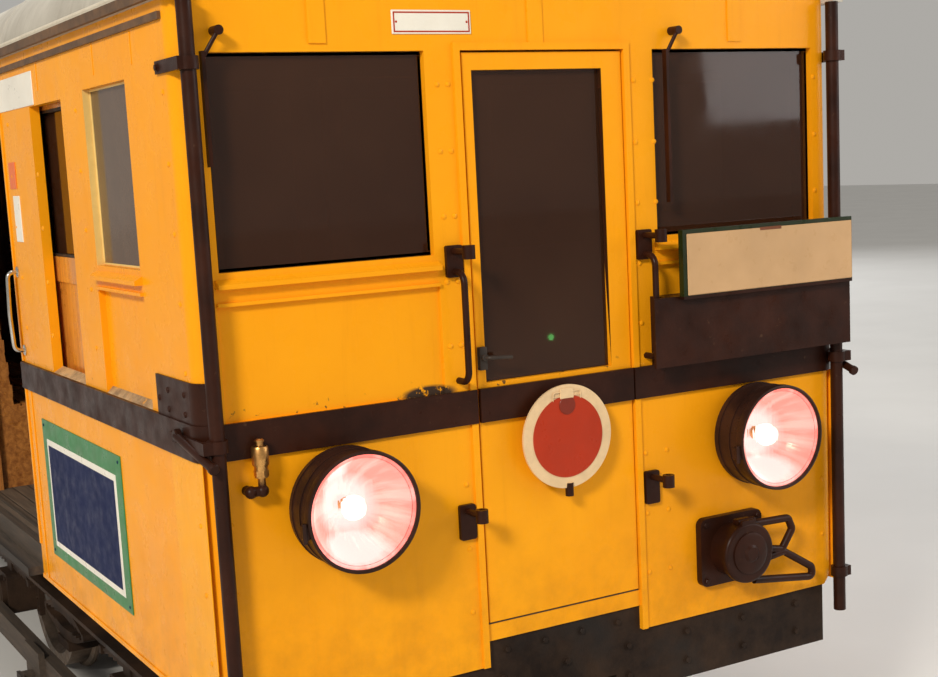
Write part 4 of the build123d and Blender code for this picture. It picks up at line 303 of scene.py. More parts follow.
def bare_wood(name="floor_wood", light=(0.17, 0.12, 0.08), dark=(0.07, 0.05, 0.035), pitch=0.07):
    """Walked-on boards along the car, with gaps at a pitch."""
    s = Shader(name, rough=0.75)
    lines = s.noise(4.0, 6, 0.65, s.stretched((0.8, 12.0, 12.0)), 0.4)
    stripe = s.math("PINGPONG", s.axis("Y"), pitch / 2)
    gap = s.ramp(stripe, 0.0, pitch * 0.06, 1.0, 0.0)
    s.set(color=s.mix(gap, s.mix(s.ramp(lines, 0.3, 0.7), light, dark), (0.015, 0.011, 0.009)))
    s.bump(s.ramp(stripe, 0.0, pitch * 0.08), 0.004, 0.8)
    s.bump(lines, 0.001, 0.5)
    return s.material


def roof_paint():
    """Sooty light-grey paint over canvas."""
    s = Shader("roof_paint", rough=0.7)
    base = s.mix(s.patches(1.6, 6, 0.7, 0.3, 0.75), (0.56, 0.53, 0.46), (0.34, 0.31, 0.26))
    runs = s.ramp(s.noise(4.0, 5, 0.7, s.stretched((5.0, 0.6, 0.6))), 0.55, 0.8, 0.0, 0.5)
    s.set(color=s.mix(runs, base, (0.22, 0.18, 0.13)))
    s.grain(0.0008, 0.5, 260.0, 2)
    s.grain(0.006, 0.3, 4.0, 3)
    return s.material


def lamp_glass():
    """The clear ribbed glass of a headlight."""
    s = Shader("lamp_glass", rough=0.05, color=(1.0, 0.93, 0.9))
    s.set(clear=1.0, ior=1.3, specular=0.3)
    s.bump(s.noise(30.0, 2, 0.5, s.stretched((1.0, 3.0, 0.25))), 0.003, 0.3)
    return s.material


def reflector():
    """The bowl behind a lit bulb: a bright lobe above and one below, with pink between."""
    s = Shader("reflector", rough=0.25, metal=0.8, color=(0.55, 0.2, 0.17))
    # The Y of both lamps carried to a distance from the lamp's own middle
    across = s.math("WRAP", s.math("ADD", s.axis("Y"), LAMP_Y), LAMP_Y, -LAMP_Y)
    up = s.math("SUBTRACT", s.axis("Z"), LAMP_Z)
    radius = s.length(across, up)
    way = s.node("CombineXYZ", {"X": s.math("DIVIDE", across, radius), "Y": s.math("DIVIDE", up, radius),
                                "Z": s.times(radius, 2.0)})["Vector"]
    fans = s.ramp(s.noise(2.6, 3, 0.6, way), 0.44, 0.62)
    base = s.mix(fans, (1.0, 0.3, 0.25), (1.0, 0.56, 0.49))
    wobble = s.times(s.math("SUBTRACT", s.noise(30.0, 3, 0.6), 0.5), 0.4)
    lobe = s.ramp(radius, 0.095, 0.055)
    for y, z, wide, high in ((-0.03, 0.045, 0.036, 0.085), (-0.01, -0.11, 0.095, 0.046)):
        from_y = s.math("DIVIDE", s.math("SUBTRACT", across, y), wide)
        from_z = s.math("DIVIDE", s.math("SUBTRACT", up, z), high)
        edge = s.math("ADD", s.length(from_y, from_z), wobble)
        lobe = s.math("MAXIMUM", lobe, s.ramp(edge, 1.15, 0.7))
    s.set(lit=s.mix(lobe, base, (1.0, 0.93, 0.9)), lit_strength=0.92)
    s.bump(fans, 0.002, 0.4)
    return s.material


def glow(name, color, strength):
    """A lit bulb or globe."""
    s = Shader(name, rough=0.4, color=color)
    s.set(lit=color, lit_strength=strength)
    s.grain(0.001, 0.2, 40.0, 2)
    return s.material


YELLOW = yellow_paint()
# A lighter copy of the yellow paint for the corner covers: a painted highlight along the rounded front
# corners.
HIGHLIGHT_YELLOW = yellow_paint("highlight_yellow", (0.92, 0.375, 0.006), (0.96, 0.425, 0.009))
BLACK = black_paint()
LAMP_BLACK = black_paint("lamp_black", (0.024, 0.01, 0.007), (0.09, 0.05, 0.03))
IRON = black_paint("rubbed_iron", (0.035, 0.028, 0.024), (0.3, 0.26, 0.22))
CAST = patchy("cast_black", ((0.013, 0.007, 0.0045), (0.046, 0.025, 0.014), (0.012, 0.01, 0.009)),
              (5.0, 6, 0.7, 0.35, 0.7), (2.3, 4, 0.6, 0.55, 0.72, 0.72, 0.38),
              (0.0012, 0.6, 140.0, 4, 0.65), (0.003, 0.3, 18.0, 3), spots=(2.3, 4, 0.6, 0.55, 0.72),
              specular=0.18)
WHEEL = patchy("wheel_steel", ((0.1, 0.075, 0.055), (0.24, 0.17, 0.12)), (9.0, 6, 0.7, 0.35, 0.7),
               (30.0, 4, 0.55, 0.3, 0.7, 0.4, 0.7), (0.0006, 0.5, 120.0, 3), metal=0.85)
POLISHED = polished_tube()
BRASS = patchy("brass", ((0.74, 0.4, 0.13), (0.34, 0.16, 0.05)), (38.0, 5, 0.6, 0.35, 0.7), (0.25, 0.55),
               (0.0004, 0.5, 160.0, 3), metal=1.0)
WOOD = varnished_wood()
WOOD_ALONG = varnished_wood("varnished_slats", way=0)
LEAF_WOOD = varnished_wood("varnished_leaf", (0.8, 0.31, 0.036), (0.46, 0.15, 0.02))
DARK_WOOD = bare_wood("oily_wood", (0.075, 0.05, 0.032), (0.03, 0.022, 0.016), 0.4)
FLOOR_WOOD = bare_wood()
ROOF = roof_paint()
GUTTER = patchy("gutter_paint", ((0.17, 0.085, 0.035), (0.06, 0.035, 0.02)), (12.0, 5, 0.7, 0.35, 0.7), 0.6,
                (0.001, 0.5, 80.0, 3))
SILL = patchy("worn_sill", ((0.58, 0.39, 0.19), (0.24, 0.15, 0.075), (0.8, 0.36, 0.03)),
              (11.0, 6, 0.7, 0.38, 0.62), (0.38, 0.65), (0.001, 0.5, 70.0, 4),
              spots=(27.0, 5, 0.55, 0.6, 0.7, 0.0, 0.7))
RUBBER = patchy("rubber", ((0.016, 0.015, 0.014), (0.045, 0.038, 0.032)), (22.0, 5, 0.55, 0.35, 0.7), 0.7,
                (0.0006, 0.5, 140.0, 3))
GROUND = patchy("pale_ground", ((0.66, 0.655, 0.64), (0.7, 0.695, 0.68)), (0.8, 3, 0.55, 0.3, 0.7), 0.85)
PANE = patchy("pane_glass", ((0.1, 0.036, 0.016), (0.15, 0.062, 0.03)), (1.6, 4, 0.6, 0.3, 0.75),
              (4.0, 4, 0.6, 0.4, 0.8, 0.03, 0.1), clear=0.72, ior=1.45, specular=0.18)
LENS = lamp_glass()
REFLECTOR = reflector()
GLOW = glow("lamp_glow", (1.0, 0.93, 0.88), 1.05)
OPAL = glow("opal_globe", (0.95, 0.88, 0.74), 0.25)
TELLTALE = glow("green_telltale", (0.05, 0.75, 0.35), 18.0)
CREAM = enamel("cream_enamel", (0.84, 0.6, 0.34), (0.35, 0.25, 0.15))
RED = enamel("red_enamel", (0.46, 0.03, 0.003), (0.25, 0.04, 0.02), 0.2)
BOARD_CREAM = enamel("board_cream", (0.6, 0.37, 0.185), (0.42, 0.25, 0.11), 0.18)
GREEN = enamel("dark_green", (0.012, 0.022, 0.004), (0.035, 0.022, 0.008), 0.4)
ADVERT_GREEN = enamel("advert_green", (0.035, 0.22, 0.07), (0.1, 0.08, 0.04))
ADVERT_NAVY = enamel("advert_navy", (0.006, 0.014, 0.07), (0.012, 0.018, 0.05), 0.1, 0.6)
WHITE = enamel("white_enamel", (0.9, 0.86, 0.76), (0.6, 0.47, 0.3), 0.12)
LINING_CREAM = enamel("lining_cream", (0.74, 0.55, 0.27), (0.3, 0.18, 0.08), 0.3)
DARK_BEAD = enamel("dark_bead", (0.02, 0.013, 0.009), (0.06, 0.035, 0.015), 0.4, 0.5)
CREAM_FRAME = enamel("cream_frame", (0.86, 0.6, 0.2), (0.5, 0.3, 0.09), 0.35, 0.35)
ROOF_EDGE = enamel("roof_edge", (0.62, 0.56, 0.45), (0.3, 0.22, 0.13), 0.45, 0.6)
RED_DARK = enamel("dark_red", (0.22, 0.025, 0.01), (0.08, 0.02, 0.015), 0.4)
FADED_RED = enamel("faded_red", (0.86, 0.17, 0.035), (0.75, 0.25, 0.03), 0.5)
SLOT_BROWN = enamel("slot_brown", (0.2, 0.06, 0.022), (0.1, 0.035, 0.015), 0.4)
CAB_GLASS = enamel("clouded_glass", (0.115, 0.072, 0.046), (0.085, 0.052, 0.032), 0.5, 0.1)

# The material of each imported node, by the start of its name
NODE_LOOKS = {
    "roof": ROOF, "window_glass": PANE, "headlight_drums": LAMP_BLACK, "headlight_glass": LENS,
    "signal_disc": CREAM, "destination_boards": GREEN, "air_cocks": BRASS, "floor": FLOOR_WOOD,
    "grab_poles": POLISHED, "benches": WOOD_ALONG, "wall_linings": WOOD, "cab_": WOOD,
    "wall_posts": LINING_CREAM, "side_wall": YELLOW, "end_": YELLOW, "cantrails": YELLOW,
    "door_right": LEAF_WOOD, "door_left": LEAF_WOOD, "door_sills": DARK_WOOD, "collector": DARK_WOOD,
    "wheelset": WHEEL, **dict.fromkeys((
        "driver_desks", "sole_bars", "cross_bearers", "underfloor", "air_res", "bogie", "motor", "coupler",
        "spring_gear", "brake_gear"), CAST),
}


def dress_nodes():
    """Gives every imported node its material, or else black."""
    for name, obj in nodes.items():
        look = next((NODE_LOOKS[start] for start in NODE_LOOKS if name.startswith(start)), BLACK)
        obj.data.materials.clear()
        obj.data.materials.append(look)


# Camera, fitted to the photograph
CAMERA_PLACE = (10.0882, -2.4428, 2.3781)
CAMERA_RIGHT = Vector((0.5013, 0.8638, -0.0511))
CAMERA_FORWARD = Vector((-0.8591, 0.4898, -0.1484))
PHOTO_WIDTH = 938
PHOTO_HEIGHT = 677
FOCAL_PIXELS = 1461.93
CENTRE_PIXEL = (469.0, 383.5)
SENSOR = 36.0


def in_scene(name, data):
    """A new object in the scene."""
    obj = bpy.data.objects.new(name, data)
    bpy.context.scene.collection.objects.link(obj)
    return obj


def camera():
    """The photograph's viewpoint."""
    data = bpy.data.cameras.new("camera")
    data.sensor_width = SENSOR
    data.lens = FOCAL_PIXELS / PHOTO_WIDTH * SENSOR
    data.shift_x = (PHOTO_WIDTH / 2 - CENTRE_PIXEL[0]) / PHOTO_WIDTH
    data.shift_y = (CENTRE_PIXEL[1] - PHOTO_HEIGHT / 2) / PHOTO_WIDTH
    data.clip_end = 200
    obj = in_scene("camera", data)
    back = -CAMERA_FORWARD.normalized()
    right = (CAMERA_RIGHT - CAMERA_RIGHT.dot(back) * back).normalized()
    up = back.cross(right)
    turn = Matrix((right, up, back)).transposed().to_4x4()
    obj.matrix_world = Matrix.Translation(CAMERA_PLACE) @ turn
    bpy.context.scene.camera = obj


def area_light(name, place, aim, size, watts, color=(1, 1, 1)):
    """A soft light that faces a point."""
    data = bpy.data.lights.new(name, "AREA")
    data.shape = "RECTANGLE"
    data.size, data.size_y = size
    data.energy = watts
    data.color = color
    obj = in_scene(name, data)
    obj.location = place
    obj.rotation_euler = (Vector(aim) - Vector(place)).to_track_quat("-Z", "Y").to_euler()


def studio():
    """A pale ground, an even sky and four soft lights."""
    bpy.context.scene.view_settings.view_transform = "Standard"
    world = bpy.data.worlds.new("studio")
    bpy.context.scene.world = world
    world.use_nodes = True
    sky = world.node_tree.nodes["Background"].inputs
    sky["Color"].default_value = (0.8, 0.77, 0.72, 1)
    sky["Strength"].default_value = 0.52
    area_light("key", (16.8, -14.4, 11.8), (4.0, 0.0, 1.6), (3.4, 2.6), 3080, (1.0, 0.92, 0.8))
    area_light("fill", (11.0, 8.0, 5.0), (5.0, 0.0, 1.5), (6.0, 5.0), 260)
    area_light("rear", (-17.0, 14.0, 11.0), (-4.0, 0.0, 1.6), (10.0, 8.0), 1900)
    area_light("top", (0.0, 0.0, 11.0), (0.0, 0.0, 0.0), (14.0, 5.0), 500)
    mesh = bpy.data.meshes.new("ground")
    reach = 60.0
    corners = [(-reach, -reach, 0), (reach, -reach, 0), (reach, reach, 0), (-reach, reach, 0)]
    mesh.from_pydata(corners, [], [(0, 1, 2, 3)])
    ground = in_scene("ground", mesh)
    mesh.materials.append(GROUND)


# Shapes
def slab(bm, low, high, bevel=0.0, steps=1):
    """A box between two corners with its edges rounded."""
    size = [high[i] - low[i] for i in range(3)]
    middle = [(high[i] + low[i]) / 2 for i in range(3)]
    place = Matrix.Translation(middle) @ Matrix.Diagonal((*size, 1))
    made = bmesh.ops.create_cube(bm, size=1.0, matrix=place)
    edges = list(dict.fromkeys(edge for corner in made["verts"] for edge in corner.link_edges))
    bmesh.ops.bevel(bm, geom=edges, offset=bevel, segments=steps, affect="EDGES", profile=0.6)


def circle(radius, steps, along=0.0):
    """Points round the Z axis."""
    angles = [math.tau * i / steps for i in range(steps)]
    return [Vector((radius * math.cos(a), radius * math.sin(a), along)) for a in angles]


def join_rings(bm, rings, steps):
    """Faces between rings of corners, where a ring of one corner is a tip."""
    for low, high in zip(rings, rings[1:]):
        for i in range(steps):
            j = (i + 1) % steps
            corners = [low[i % len(low)], low[j % len(low)], high[j % len(high)], high[i % len(high)]]
            corners = list(dict.fromkeys(corners))
            if len(corners) > 2:
                bm.faces.new(corners)


def lathe(bm, profile, place, way, steps=32):
    """A turned shape from pairs of distance and radius along an axis."""
    turn = Matrix.Translation(place) @ Vector(way).to_track_quat("Z", "Y").to_matrix().to_4x4()
    rings = []
    for along, radius in profile:
        points = circle(radius, steps, along) if radius else [Vector((0, 0, along))]
        rings.append([bm.verts.new(turn @ point) for point in points])
    join_rings(bm, rings, steps)


def disc(bm, place, way, radius, height, steps=24, edge=0.0015):
    """A short round piece with a softened rim, standing on a place."""
    profile = [(0, 0), (0, radius), (height - edge, radius), (height, radius - edge), (height, 0)]
    lathe(bm, profile, place, way, steps)


def dome(bm, place, way, radius, height, steps=10):
    """A round rivet or bolt head."""
    profile = [(0, radius), (height * 0.55, radius * 0.86), (height * 0.92, radius * 0.45), (height, 0)]
    lathe(bm, profile, place, way, steps)


def hexagon(bm, place, way, radius, height):
    """A six-sided bolt head on a washer."""
    disc(bm, place, way, radius * 1.35, height * 0.3, 16, 0.0005)
    profile = [(0, radius), (height * 0.85, radius), (height, radius * 0.85), (height, 0)]
    lathe(bm, profile, place, way, 6)


def rounded(points, radius, steps=6):
    """A path through points with its corners rounded."""
    path = [Vector(points[0])]
    for before, corner, after in zip(points, points[1:], points[2:]):
        before, corner, after = Vector(before), Vector(corner), Vector(after)
        start = corner + (before - corner).normalized() * radius
        end = corner + (after - corner).normalized() * radius
        for i in range(steps + 1):
            t = i / steps
            path.append((1 - t) ** 2 * start + 2 * t * (1 - t) * corner + t * t * end)
    path.append(Vector(points[-1]))
    return path


def tube(bm, points, radius, sides=10):
    """A round bar along a path, closed at both ends."""
    points = [Vector(p) for p in points]
    turn = (points[1] - points[0]).to_track_quat("Z", "Y")
    way = (points[1] - points[0]).normalized()
    rings = []
    for i, point in enumerate(points):
        ahead = points[min(i + 1, len(points) - 1)] - points[max(i - 1, 0)]
        new_way = ahead.normalized()
        turn = way.rotation_difference(new_way) @ turn
        way = new_way
        rings.append([bm.verts.new(point + turn @ corner) for corner in circle(radius, sides)])
    join_rings(bm, rings, sides)
    bm.faces.new(rings[0][::-1])
    bm.faces.new(rings[-1])


def window_ring(bm, low, high, thin, width, bevel=0.002):
    """A flat rectangular ring between two corners, open along the thin axis."""
    across, up = [i for i in range(3) if i != thin]
    for axis, other in ((across, up), (up, across)):
        for far in (False, True):
            a, b = list(low), list(high)
            if far:
                a[axis] = high[axis] - width
            else:
                b[axis] = low[axis] + width
            if axis == across:
                a[other] = low[other] + width
                b[other] = high[other] - width
            slab(bm, a, b, bevel)


# Plates on the right side's skin: rise, bevel and its steps, and the lowest and highest x and z of each.
# All are blank; the notice is over the doorway, the badge in front of it and the red plate above that.
SIDE_PLATES = {
    "side_notice": (0.004, 0.0015, 1, [(4.33, 4.888, 2.657, 2.773)]),
    "side_badge": (0.003, 0.0012, 1, [(4.452, 4.548, 2.175, 2.346)]),
    "side_red_plate": (0.003, 0.0012, 1, [(4.425, 4.522, 2.372, 2.47)]),
    "advert_back": (ADVERT_RISES[0], 0.0015, 1, [ADVERT]),
    "panel_seams": (0.002, 0.001, 1, [(x - half, x + half, 2.7, 2.792) for x, half in (
        (6.01, 0.004), (5.63, 0.004), (4.95, 0.004), (1.1, 0.005), (0.37, 0.005))]),
    "lower_seams": (0.004, 0.0015, 1, [(x - 0.02, x + 0.02, PANEL_BOTTOM + 0.003, BAND_BOTTOM - 0.003)
                                       for x in (4.42, 2.0, 0.7)]),
    "foot_rails": (0.005, 0.002, 1, [(x0, x1, PANEL_BOTTOM + 0.002, PANEL_BOTTOM + 0.02)
                                     for x0, x1 in ((4.355, 6.285), (0.0, 3.145))]),
    "corner_covers": (COVER_RISE, 0.0012, 1, [(FRONT - 0.265, FRONT - 0.009,
                                               PANEL_BOTTOM + 0.006, BAND_BOTTOM - 0.003)]),
    "doorway_posts": (0.006, 0.003, 2, [(x - 0.0095, x + 0.0095, *z) for x, z in product(
        (DOORWAY_X[0] - 0.01, DOORWAY_X[1] + 0.01),
        ((PANEL_BOTTOM + 0.14, BAND_BOTTOM - 0.002), (BAND_TOP + 0.002, 2.728)))]),
}


# Turned pieces: where each stands, the way it faces, its steps, and pairs of distance and radius
TURNED = {
    "lamp_reflectors": (LAMPS, FORWARD, 48, [
        (0.036, 0.0), (0.036, 0.056), (0.05, 0.086), (0.08, 0.1145), (0.115, 0.134), (0.1525, 0.152),
        (0.1535, 0.152), (0.1535, 0.149), (0.116, 0.131), (0.082, 0.111), (0.053, 0.084), (0.041, 0.052),
        (0.041, 0.0)]),
    "lamp_bulbs": (LAMPS, FORWARD, 20, [
        (0.06, 0.0), (0.06, 0.018), (0.072, 0.03), (0.092, 0.036), (0.11, 0.03), (0.122, 0.014),
        (0.124, 0.0)]),
    "lamp_holders": (LAMPS, FORWARD, 20, [
        (0.039, 0.0), (0.039, 0.02), (0.058, 0.02), (0.062, 0.015), (0.062, 0.0)]),
    "gauge_rims": (GAUGES, BACKWARD, 28, [
        (0.0, 0.05), (0.0, 0.06), (0.016, 0.06), (0.02, 0.055), (0.02, 0.048), (0.011, 0.048)]),
    "controller_plate": ([(FRONT - 0.216, -0.735, 1.96)], UP, 32, [
        (-0.001, 0.061), (-0.001, 0.125), (0.004, 0.125), (0.006, 0.12), (0.006, 0.061)]),
    "telltale": ([(FRONT - 0.98, 0.62, 1.7)], FORWARD, 14, [
        (-0.001, 0.012), (0.004, 0.012), (0.009, 0.008), (0.011, 0.0)]),
    "ceiling_lamps": (CEILING_LAMPS, DOWN, 20, [
        (0.02, 0.03), (0.03, 0.052), (0.06, 0.066), (0.095, 0.06), (0.12, 0.034), (0.127, 0.0)]),
    "ceiling_bases": (CEILING_LAMPS, DOWN, 20, [
        (-0.002, 0.0), (-0.002, 0.062), (0.012, 0.06), (0.022, 0.044), (0.03, 0.03), (0.03, 0.0)]),
}


# Single boxes: lowest and highest corner, and bevel. They are the blank notice over the right front window,
# the blank face of the destination board and its finger slot, the pale plate that the disc's clips hold,
# the kick plate under the end door, and the clouded outer pane of the cab's side window.
BOXES = {
    "notice_plate": ((FRONT - SINK, -0.503, 2.749), (FRONT + 0.004, -0.246, 2.816), 0.0015),
    "board_face": ((BOARD_X - SINK, BOARD_Y - 0.343, 1.934),
                   (BOARD_X + 0.003, BOARD_Y + 0.356, 2.127), 0.002),
    "board_slot": ((BOARD_X + 0.002, BOARD_Y - 0.045, 2.119),
                   (BOARD_X + 0.0045, BOARD_Y + 0.045, 2.129), 0.001),
    "disc_tongue_head": ((DISC_X + 0.0035, -0.025, 1.654), (DISC_X + 0.009, 0.025, 1.686), 0.002),
    "threshold": ((FRONT - 0.058, -0.285, 0.979), (FRONT - 0.004, 0.285, 0.984), 0.001),
    "cab_outer_panes": ((CAB_SPAN[0] + 0.004, -1.1245, WINDOW_SILL + 0.004),
                        (CAB_SPAN[1] - 0.004, -1.1195, SIDE_WINDOW_HEAD - 0.004), 0.001),
}


def build_row(bm, name):
    """Builds a row of one of the three tables."""
    if name in SIDE_PLATES:
        rise, bevel, steps, spans = SIDE_PLATES[name]
        for x0, x1, z0, z1 in spans:
            slab(bm, (x0, SKIN - rise, z0), (x1, SKIN + SINK, z1), bevel, steps)
    elif name in BOXES:
        slab(bm, *BOXES[name])
    else:
        places, way, steps, profile = TURNED[name]
        for place in places:
            lathe(bm, profile, place, way, steps)


# Pieces
def finish_piece(name, bm, look, body):
    """Turns built geometry into a piece that rides on a body."""
    bmesh.ops.recalc_face_normals(bm, faces=bm.faces)
    mesh = bpy.data.meshes.new(name)
    bm.to_mesh(mesh)
    bm.free()
    mesh.materials.append(look)
    for polygon in mesh.polygons:
        polygon.use_smooth = True
    mesh.set_sharp_from_angle(angle=math.radians(35.0))
    obj = in_scene(name, mesh)
    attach(obj, body)


def geometry(shape):
    """The mesh of a build function or of a table's row, with the name of either."""
    bm = bmesh.new()
    if isinstance(shape, str):
        build_row(bm, shape)
        return bm, shape
    shape(bm)
    return bm, shape.__name__


def piece(shape, look, body=BODY, end="", turn=None, name=None):
    """One piece, turned or mirrored where a matrix is given, with an end to its name."""
    bm, own_name = geometry(shape)
    if turn is not None:
        bmesh.ops.transform(bm, matrix=turn, verts=bm.verts)
    finish_piece((name or own_name) + end, bm, look, body)


def at_ends(shape, look, bodies=(BODY, BODY)):
    """A piece at the front and its copy turned half round at the rear."""
    piece(shape, look, bodies[0], "_front")
    piece(shape, look, bodies[1], "_rear", HALF_TURN)


def at_quarters(shape, look):
    """One piece, with its shape mirrored from the right front to all quarters."""
    bm = bmesh.new()
    for mirror_x, mirror_y in product((1, -1), repeat=2):
        part, name = geometry(shape)
        bmesh.ops.transform(part, matrix=Matrix.Diagonal((mirror_x, mirror_y, 1, 1)), verts=part.verts)
        if mirror_x * mirror_y < 0:
            bmesh.ops.reverse_faces(part, faces=part.faces)
        mesh = bpy.data.meshes.new("quarter")
        part.to_mesh(mesh)
        part.free()
        bm.from_mesh(mesh)
        bpy.data.meshes.remove(mesh)
    finish_piece(name, bm, look, BODY)


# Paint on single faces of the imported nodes, found by their middle c and normal n
def paint_faces(node, look, test):
    """Gives the faces of a node that pass a test another material."""
    mesh = nodes[node].data
    mesh.materials.append(look)
    index = len(mesh.materials) - 1
    for polygon in mesh.polygons:
        if test(polygon.center, polygon.normal):
            polygon.material_index = index


def paint_end_door(end):
    """Glass, the black piece of the band and the dark inner face of one end door."""
    node = "end_door_" + end
    side = 1 if end == "front" else -1
    y0, y1, z0, z1 = END_DOOR_PANE
    near = FRONT - 0.032
    paint_faces(node, PANE, lambda c, n: near < side * c.x < near + 0.013 and y0 < side * c.y < y1
                and z0 < c.z < z1)
    paint_faces(node, BLACK, lambda c, n: side * c.x > FRONT - 0.0015
                and BAND_BOTTOM - SLACK < c.z < BAND_TOP + SLACK)
    paint_faces(node, BLACK, lambda c, n: side * c.x < FRONT - 0.0545)


def paint_leaf(name):
    """Glass in the upper part of a sliding leaf."""
    low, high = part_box(name)
    middle = (low[1] + high[1]) / 2
    paint_faces(name, PANE, lambda c, n: abs(c.y - middle) < 0.0045 and LEAF_GLASS[0] - SLACK < c.z
                < LEAF_GLASS[1] + SLACK and low[0] + 0.089 < c.x < high[0] - 0.089)


def paint_cab_door(end):
    """Glass in the upper part of a cab door."""
    paint_faces("cab_door_" + end, PANE, lambda c, n: CAB_DOOR_PANE[0] - SLACK < c.z
                < CAB_DOOR_PANE[1] + SLACK and abs(c.y) < 0.22 and abs(n.x) > 0.9)


def paint_disc():
    """The red centre of the signal disc, and its dark back, hook and peg."""
    def from_centre(c):
        return math.hypot(c.y, c.z - DISC_Z)

    def on_peg(c):
        return abs(c.y) < 0.0135 and c.z < 1.39 and abs(c.x - DISC_X - 0.004) > 0.0006

    paint_faces("signal_disc", BLACK, lambda c, n: c.x < DISC_X - 0.0041 or from_centre(c) > 0.1612
                or on_peg(c))
    paint_faces("signal_disc", RED, lambda c, n: c.x > DISC_X + 0.0045 and from_centre(c) < 0.1275)


def paint_body():
    """Lamp seats, sills, window reveals, gutter rails and the feet of the cocks."""
    seat = FRONT + LAMP_DEPTH - 0.014
    paint_faces("headlight_drums", REFLECTOR, lambda c, n: abs(n.x) > 0.9 and abs(abs(c.x) - seat) < SLACK)
    for node in ("side_wall_right", "side_wall_left"):
        paint_faces(node, SILL, lambda c, n: n.z > 0.3 and BAND_TOP - 0.002 < c.z < BAND_TOP + 0.022)
        paint_faces(node, CREAM_FRAME, lambda c, n: abs(n.x) > 0.9 and WINDOW_SILL < c.z < 2.67
                    and 5.45 < abs(c.x) < 5.95)
    paint_faces("roof", GUTTER, lambda c, n: abs(c.y) > ROOF_HALF - SINK and c.z < ROOF_FOOT + 0.03)
    paint_faces("cantrails", GUTTER, lambda c, n: abs(c.y) > HALF_WIDTH + SLACK)
    paint_faces("air_cocks", BLACK, lambda c, n: c.z < 1.545)


# Small fasteners
def end_rivets(bm):
    """Rivet heads beside the end door and at the pillars."""
    for columns, heights in (((-0.367, 0.403, 0.331, -0.331), UPPER_RIVETS),
                             ((-0.338, 0.33, 0.415), LOWER_RIVETS), ((-1.098, 1.075), UPPER_RIVETS[:-1]),
                             ((-1.085, 1.085), LOWER_RIVETS)):
        for y, z in product(columns, heights):
            dome(bm, (FRONT - SINK, y, z), FORWARD, RIVET, RIVET_RISE)


def side_rivets(bm):
    """Rivet heads on the side, by distance from the front."""
    for back, heights in ((0.092, UPPER_RIVETS), (COVER_RIVETS, LOWER_RIVETS), (0.955, UPPER_RIVETS),
                          (1.885, UPPER_RIVETS), (1.5, UPPER_RIVETS[1:]), (1.93, LOWER_RIVETS),
                          (3.27, UPPER_RIVETS), (3.27, LOWER_RIVETS), (4.21, UPPER_RIVETS),
                          (4.38, UPPER_RIVETS), (4.35, LOWER_RIVETS), (5.6, LOWER_RIVETS)):
        y = SKIN + SINK - (COVER_RISE if back == COVER_RIVETS else 0.0)
        for z in heights:
            dome(bm, (FRONT - back, y, z), TO_RIGHT, RIVET, RIVET_RISE)


def plate_bolts(bm):
    """Bolt heads on the corner plates and the clamps of the corner poles."""
    for back, z in ((0.105, 1.79), (0.105, 1.735), (0.24, 1.79), (0.24, 1.735), (0.32, 1.76)):
        dome(bm, (FRONT - back, SKIN - 0.0055, z), TO_RIGHT, 0.01, 0.006)
    for back, z, rise in ((0.1, 2.673, 0.008), (0.17, 1.661, 0.02), (0.1, 0.9, 0.008)):
        hexagon(bm, (FRONT - back, SKIN - rise + SINK, z), TO_RIGHT, 0.009, 0.008)


def headstock_bolts(bm):
    """Three rows of bolt heads on the headstock, with room for the coupler."""
    x = FRONT - 0.0105
    for y in (-0.22, -0.08, 0.06, 0.2):
        hexagon(bm, (x, y, 0.888), FORWARD, 0.01, 0.009)
    for i, z in product(range(9), (0.8, 0.7)):
        y = -0.96 + 0.24 * i
        if abs(y) > 0.21 or z > 0.76:
            hexagon(bm, (x, y, z), FORWARD, 0.011, 0.01)


# Front end
def lamp_trim(bm):
    """Rim, seam bands, screws and hinge of each headlight."""
    outer = LAMP_RADIUS
    front = FRONT + LAMP_DEPTH
    rim = [(-0.003, -0.0095), (0.002, -0.0085), (0.0035, -0.004), (0.002, 0.0005), (-0.02, 0.0015),
           (-0.024, 0.0005), (-0.024, -0.004), (-0.003, -0.0095)]
    lathes = [[(LAMP_DEPTH + along, outer + rise) for along, rise in rim]]
    seat, skin = outer - 0.006, outer - 0.001
    for low, high in ((0.045, 0.053), (0.098, 0.106)):
        lathes.append([(low, seat), (low, skin), (high, skin), (high, seat)])
    for profile, place in product(lathes, LAMPS):
        lathe(bm, profile, place, FORWARD, 64)
    reach = outer - 0.005
    for _, y, z in LAMPS:
        for angle in range(35, 360, 60):
            a = math.radians(angle)
            place = (front + 0.001, y + reach * math.cos(a), z + reach * math.sin(a))
            dome(bm, place, FORWARD, 0.004, 0.0035, 8)
        hinge = y - (outer + 0.004)
        slab(bm, (front - 0.036, hinge - 0.006, z - 0.052), (front - 0.004, hinge + 0.01, z - 0.012),
             0.003)
        x, y = front - 0.008, hinge - 0.004
        tube(bm, [(x, y, z - 0.06), (x, y, z - 0.004)], 0.007)


def notice_line(bm):
    """The red line and two screws of the notice."""
    window_ring(bm, (FRONT + 0.0035, -0.498, 2.754), (FRONT + 0.0048, -0.251, 2.811), 0, 0.004,
                0.0002)
    for y in (-0.489, -0.26):
        dome(bm, (FRONT + 0.004, y, 2.783), FORWARD, 0.0035, 0.002, 8)


def disc_clips(bm):
    """The two wire clips at the top of the signal disc."""
    x = DISC_X + 0.004
    for y in (-0.05, 0.01):
        loop = [(x + 0.001, y, 1.65), (x + 0.004, y, 1.676), (x + 0.004, y + 0.04, 1.676),
                (x + 0.001, y + 0.04, 1.65)]
        tube(bm, rounded(loop, 0.008, 4), 0.0018, 6)
        tube(bm, [(x + 0.002, y + 0.002, 1.662), (x + 0.002, y + 0.038, 1.662)], 0.0016, 6)


def disc_tongue(bm):
    """The round end of the tongue, on the red."""
    disc(bm, (DISC_X + 0.0055, 0.0, 1.634), FORWARD, 0.029, 0.003, 28, 0.001)


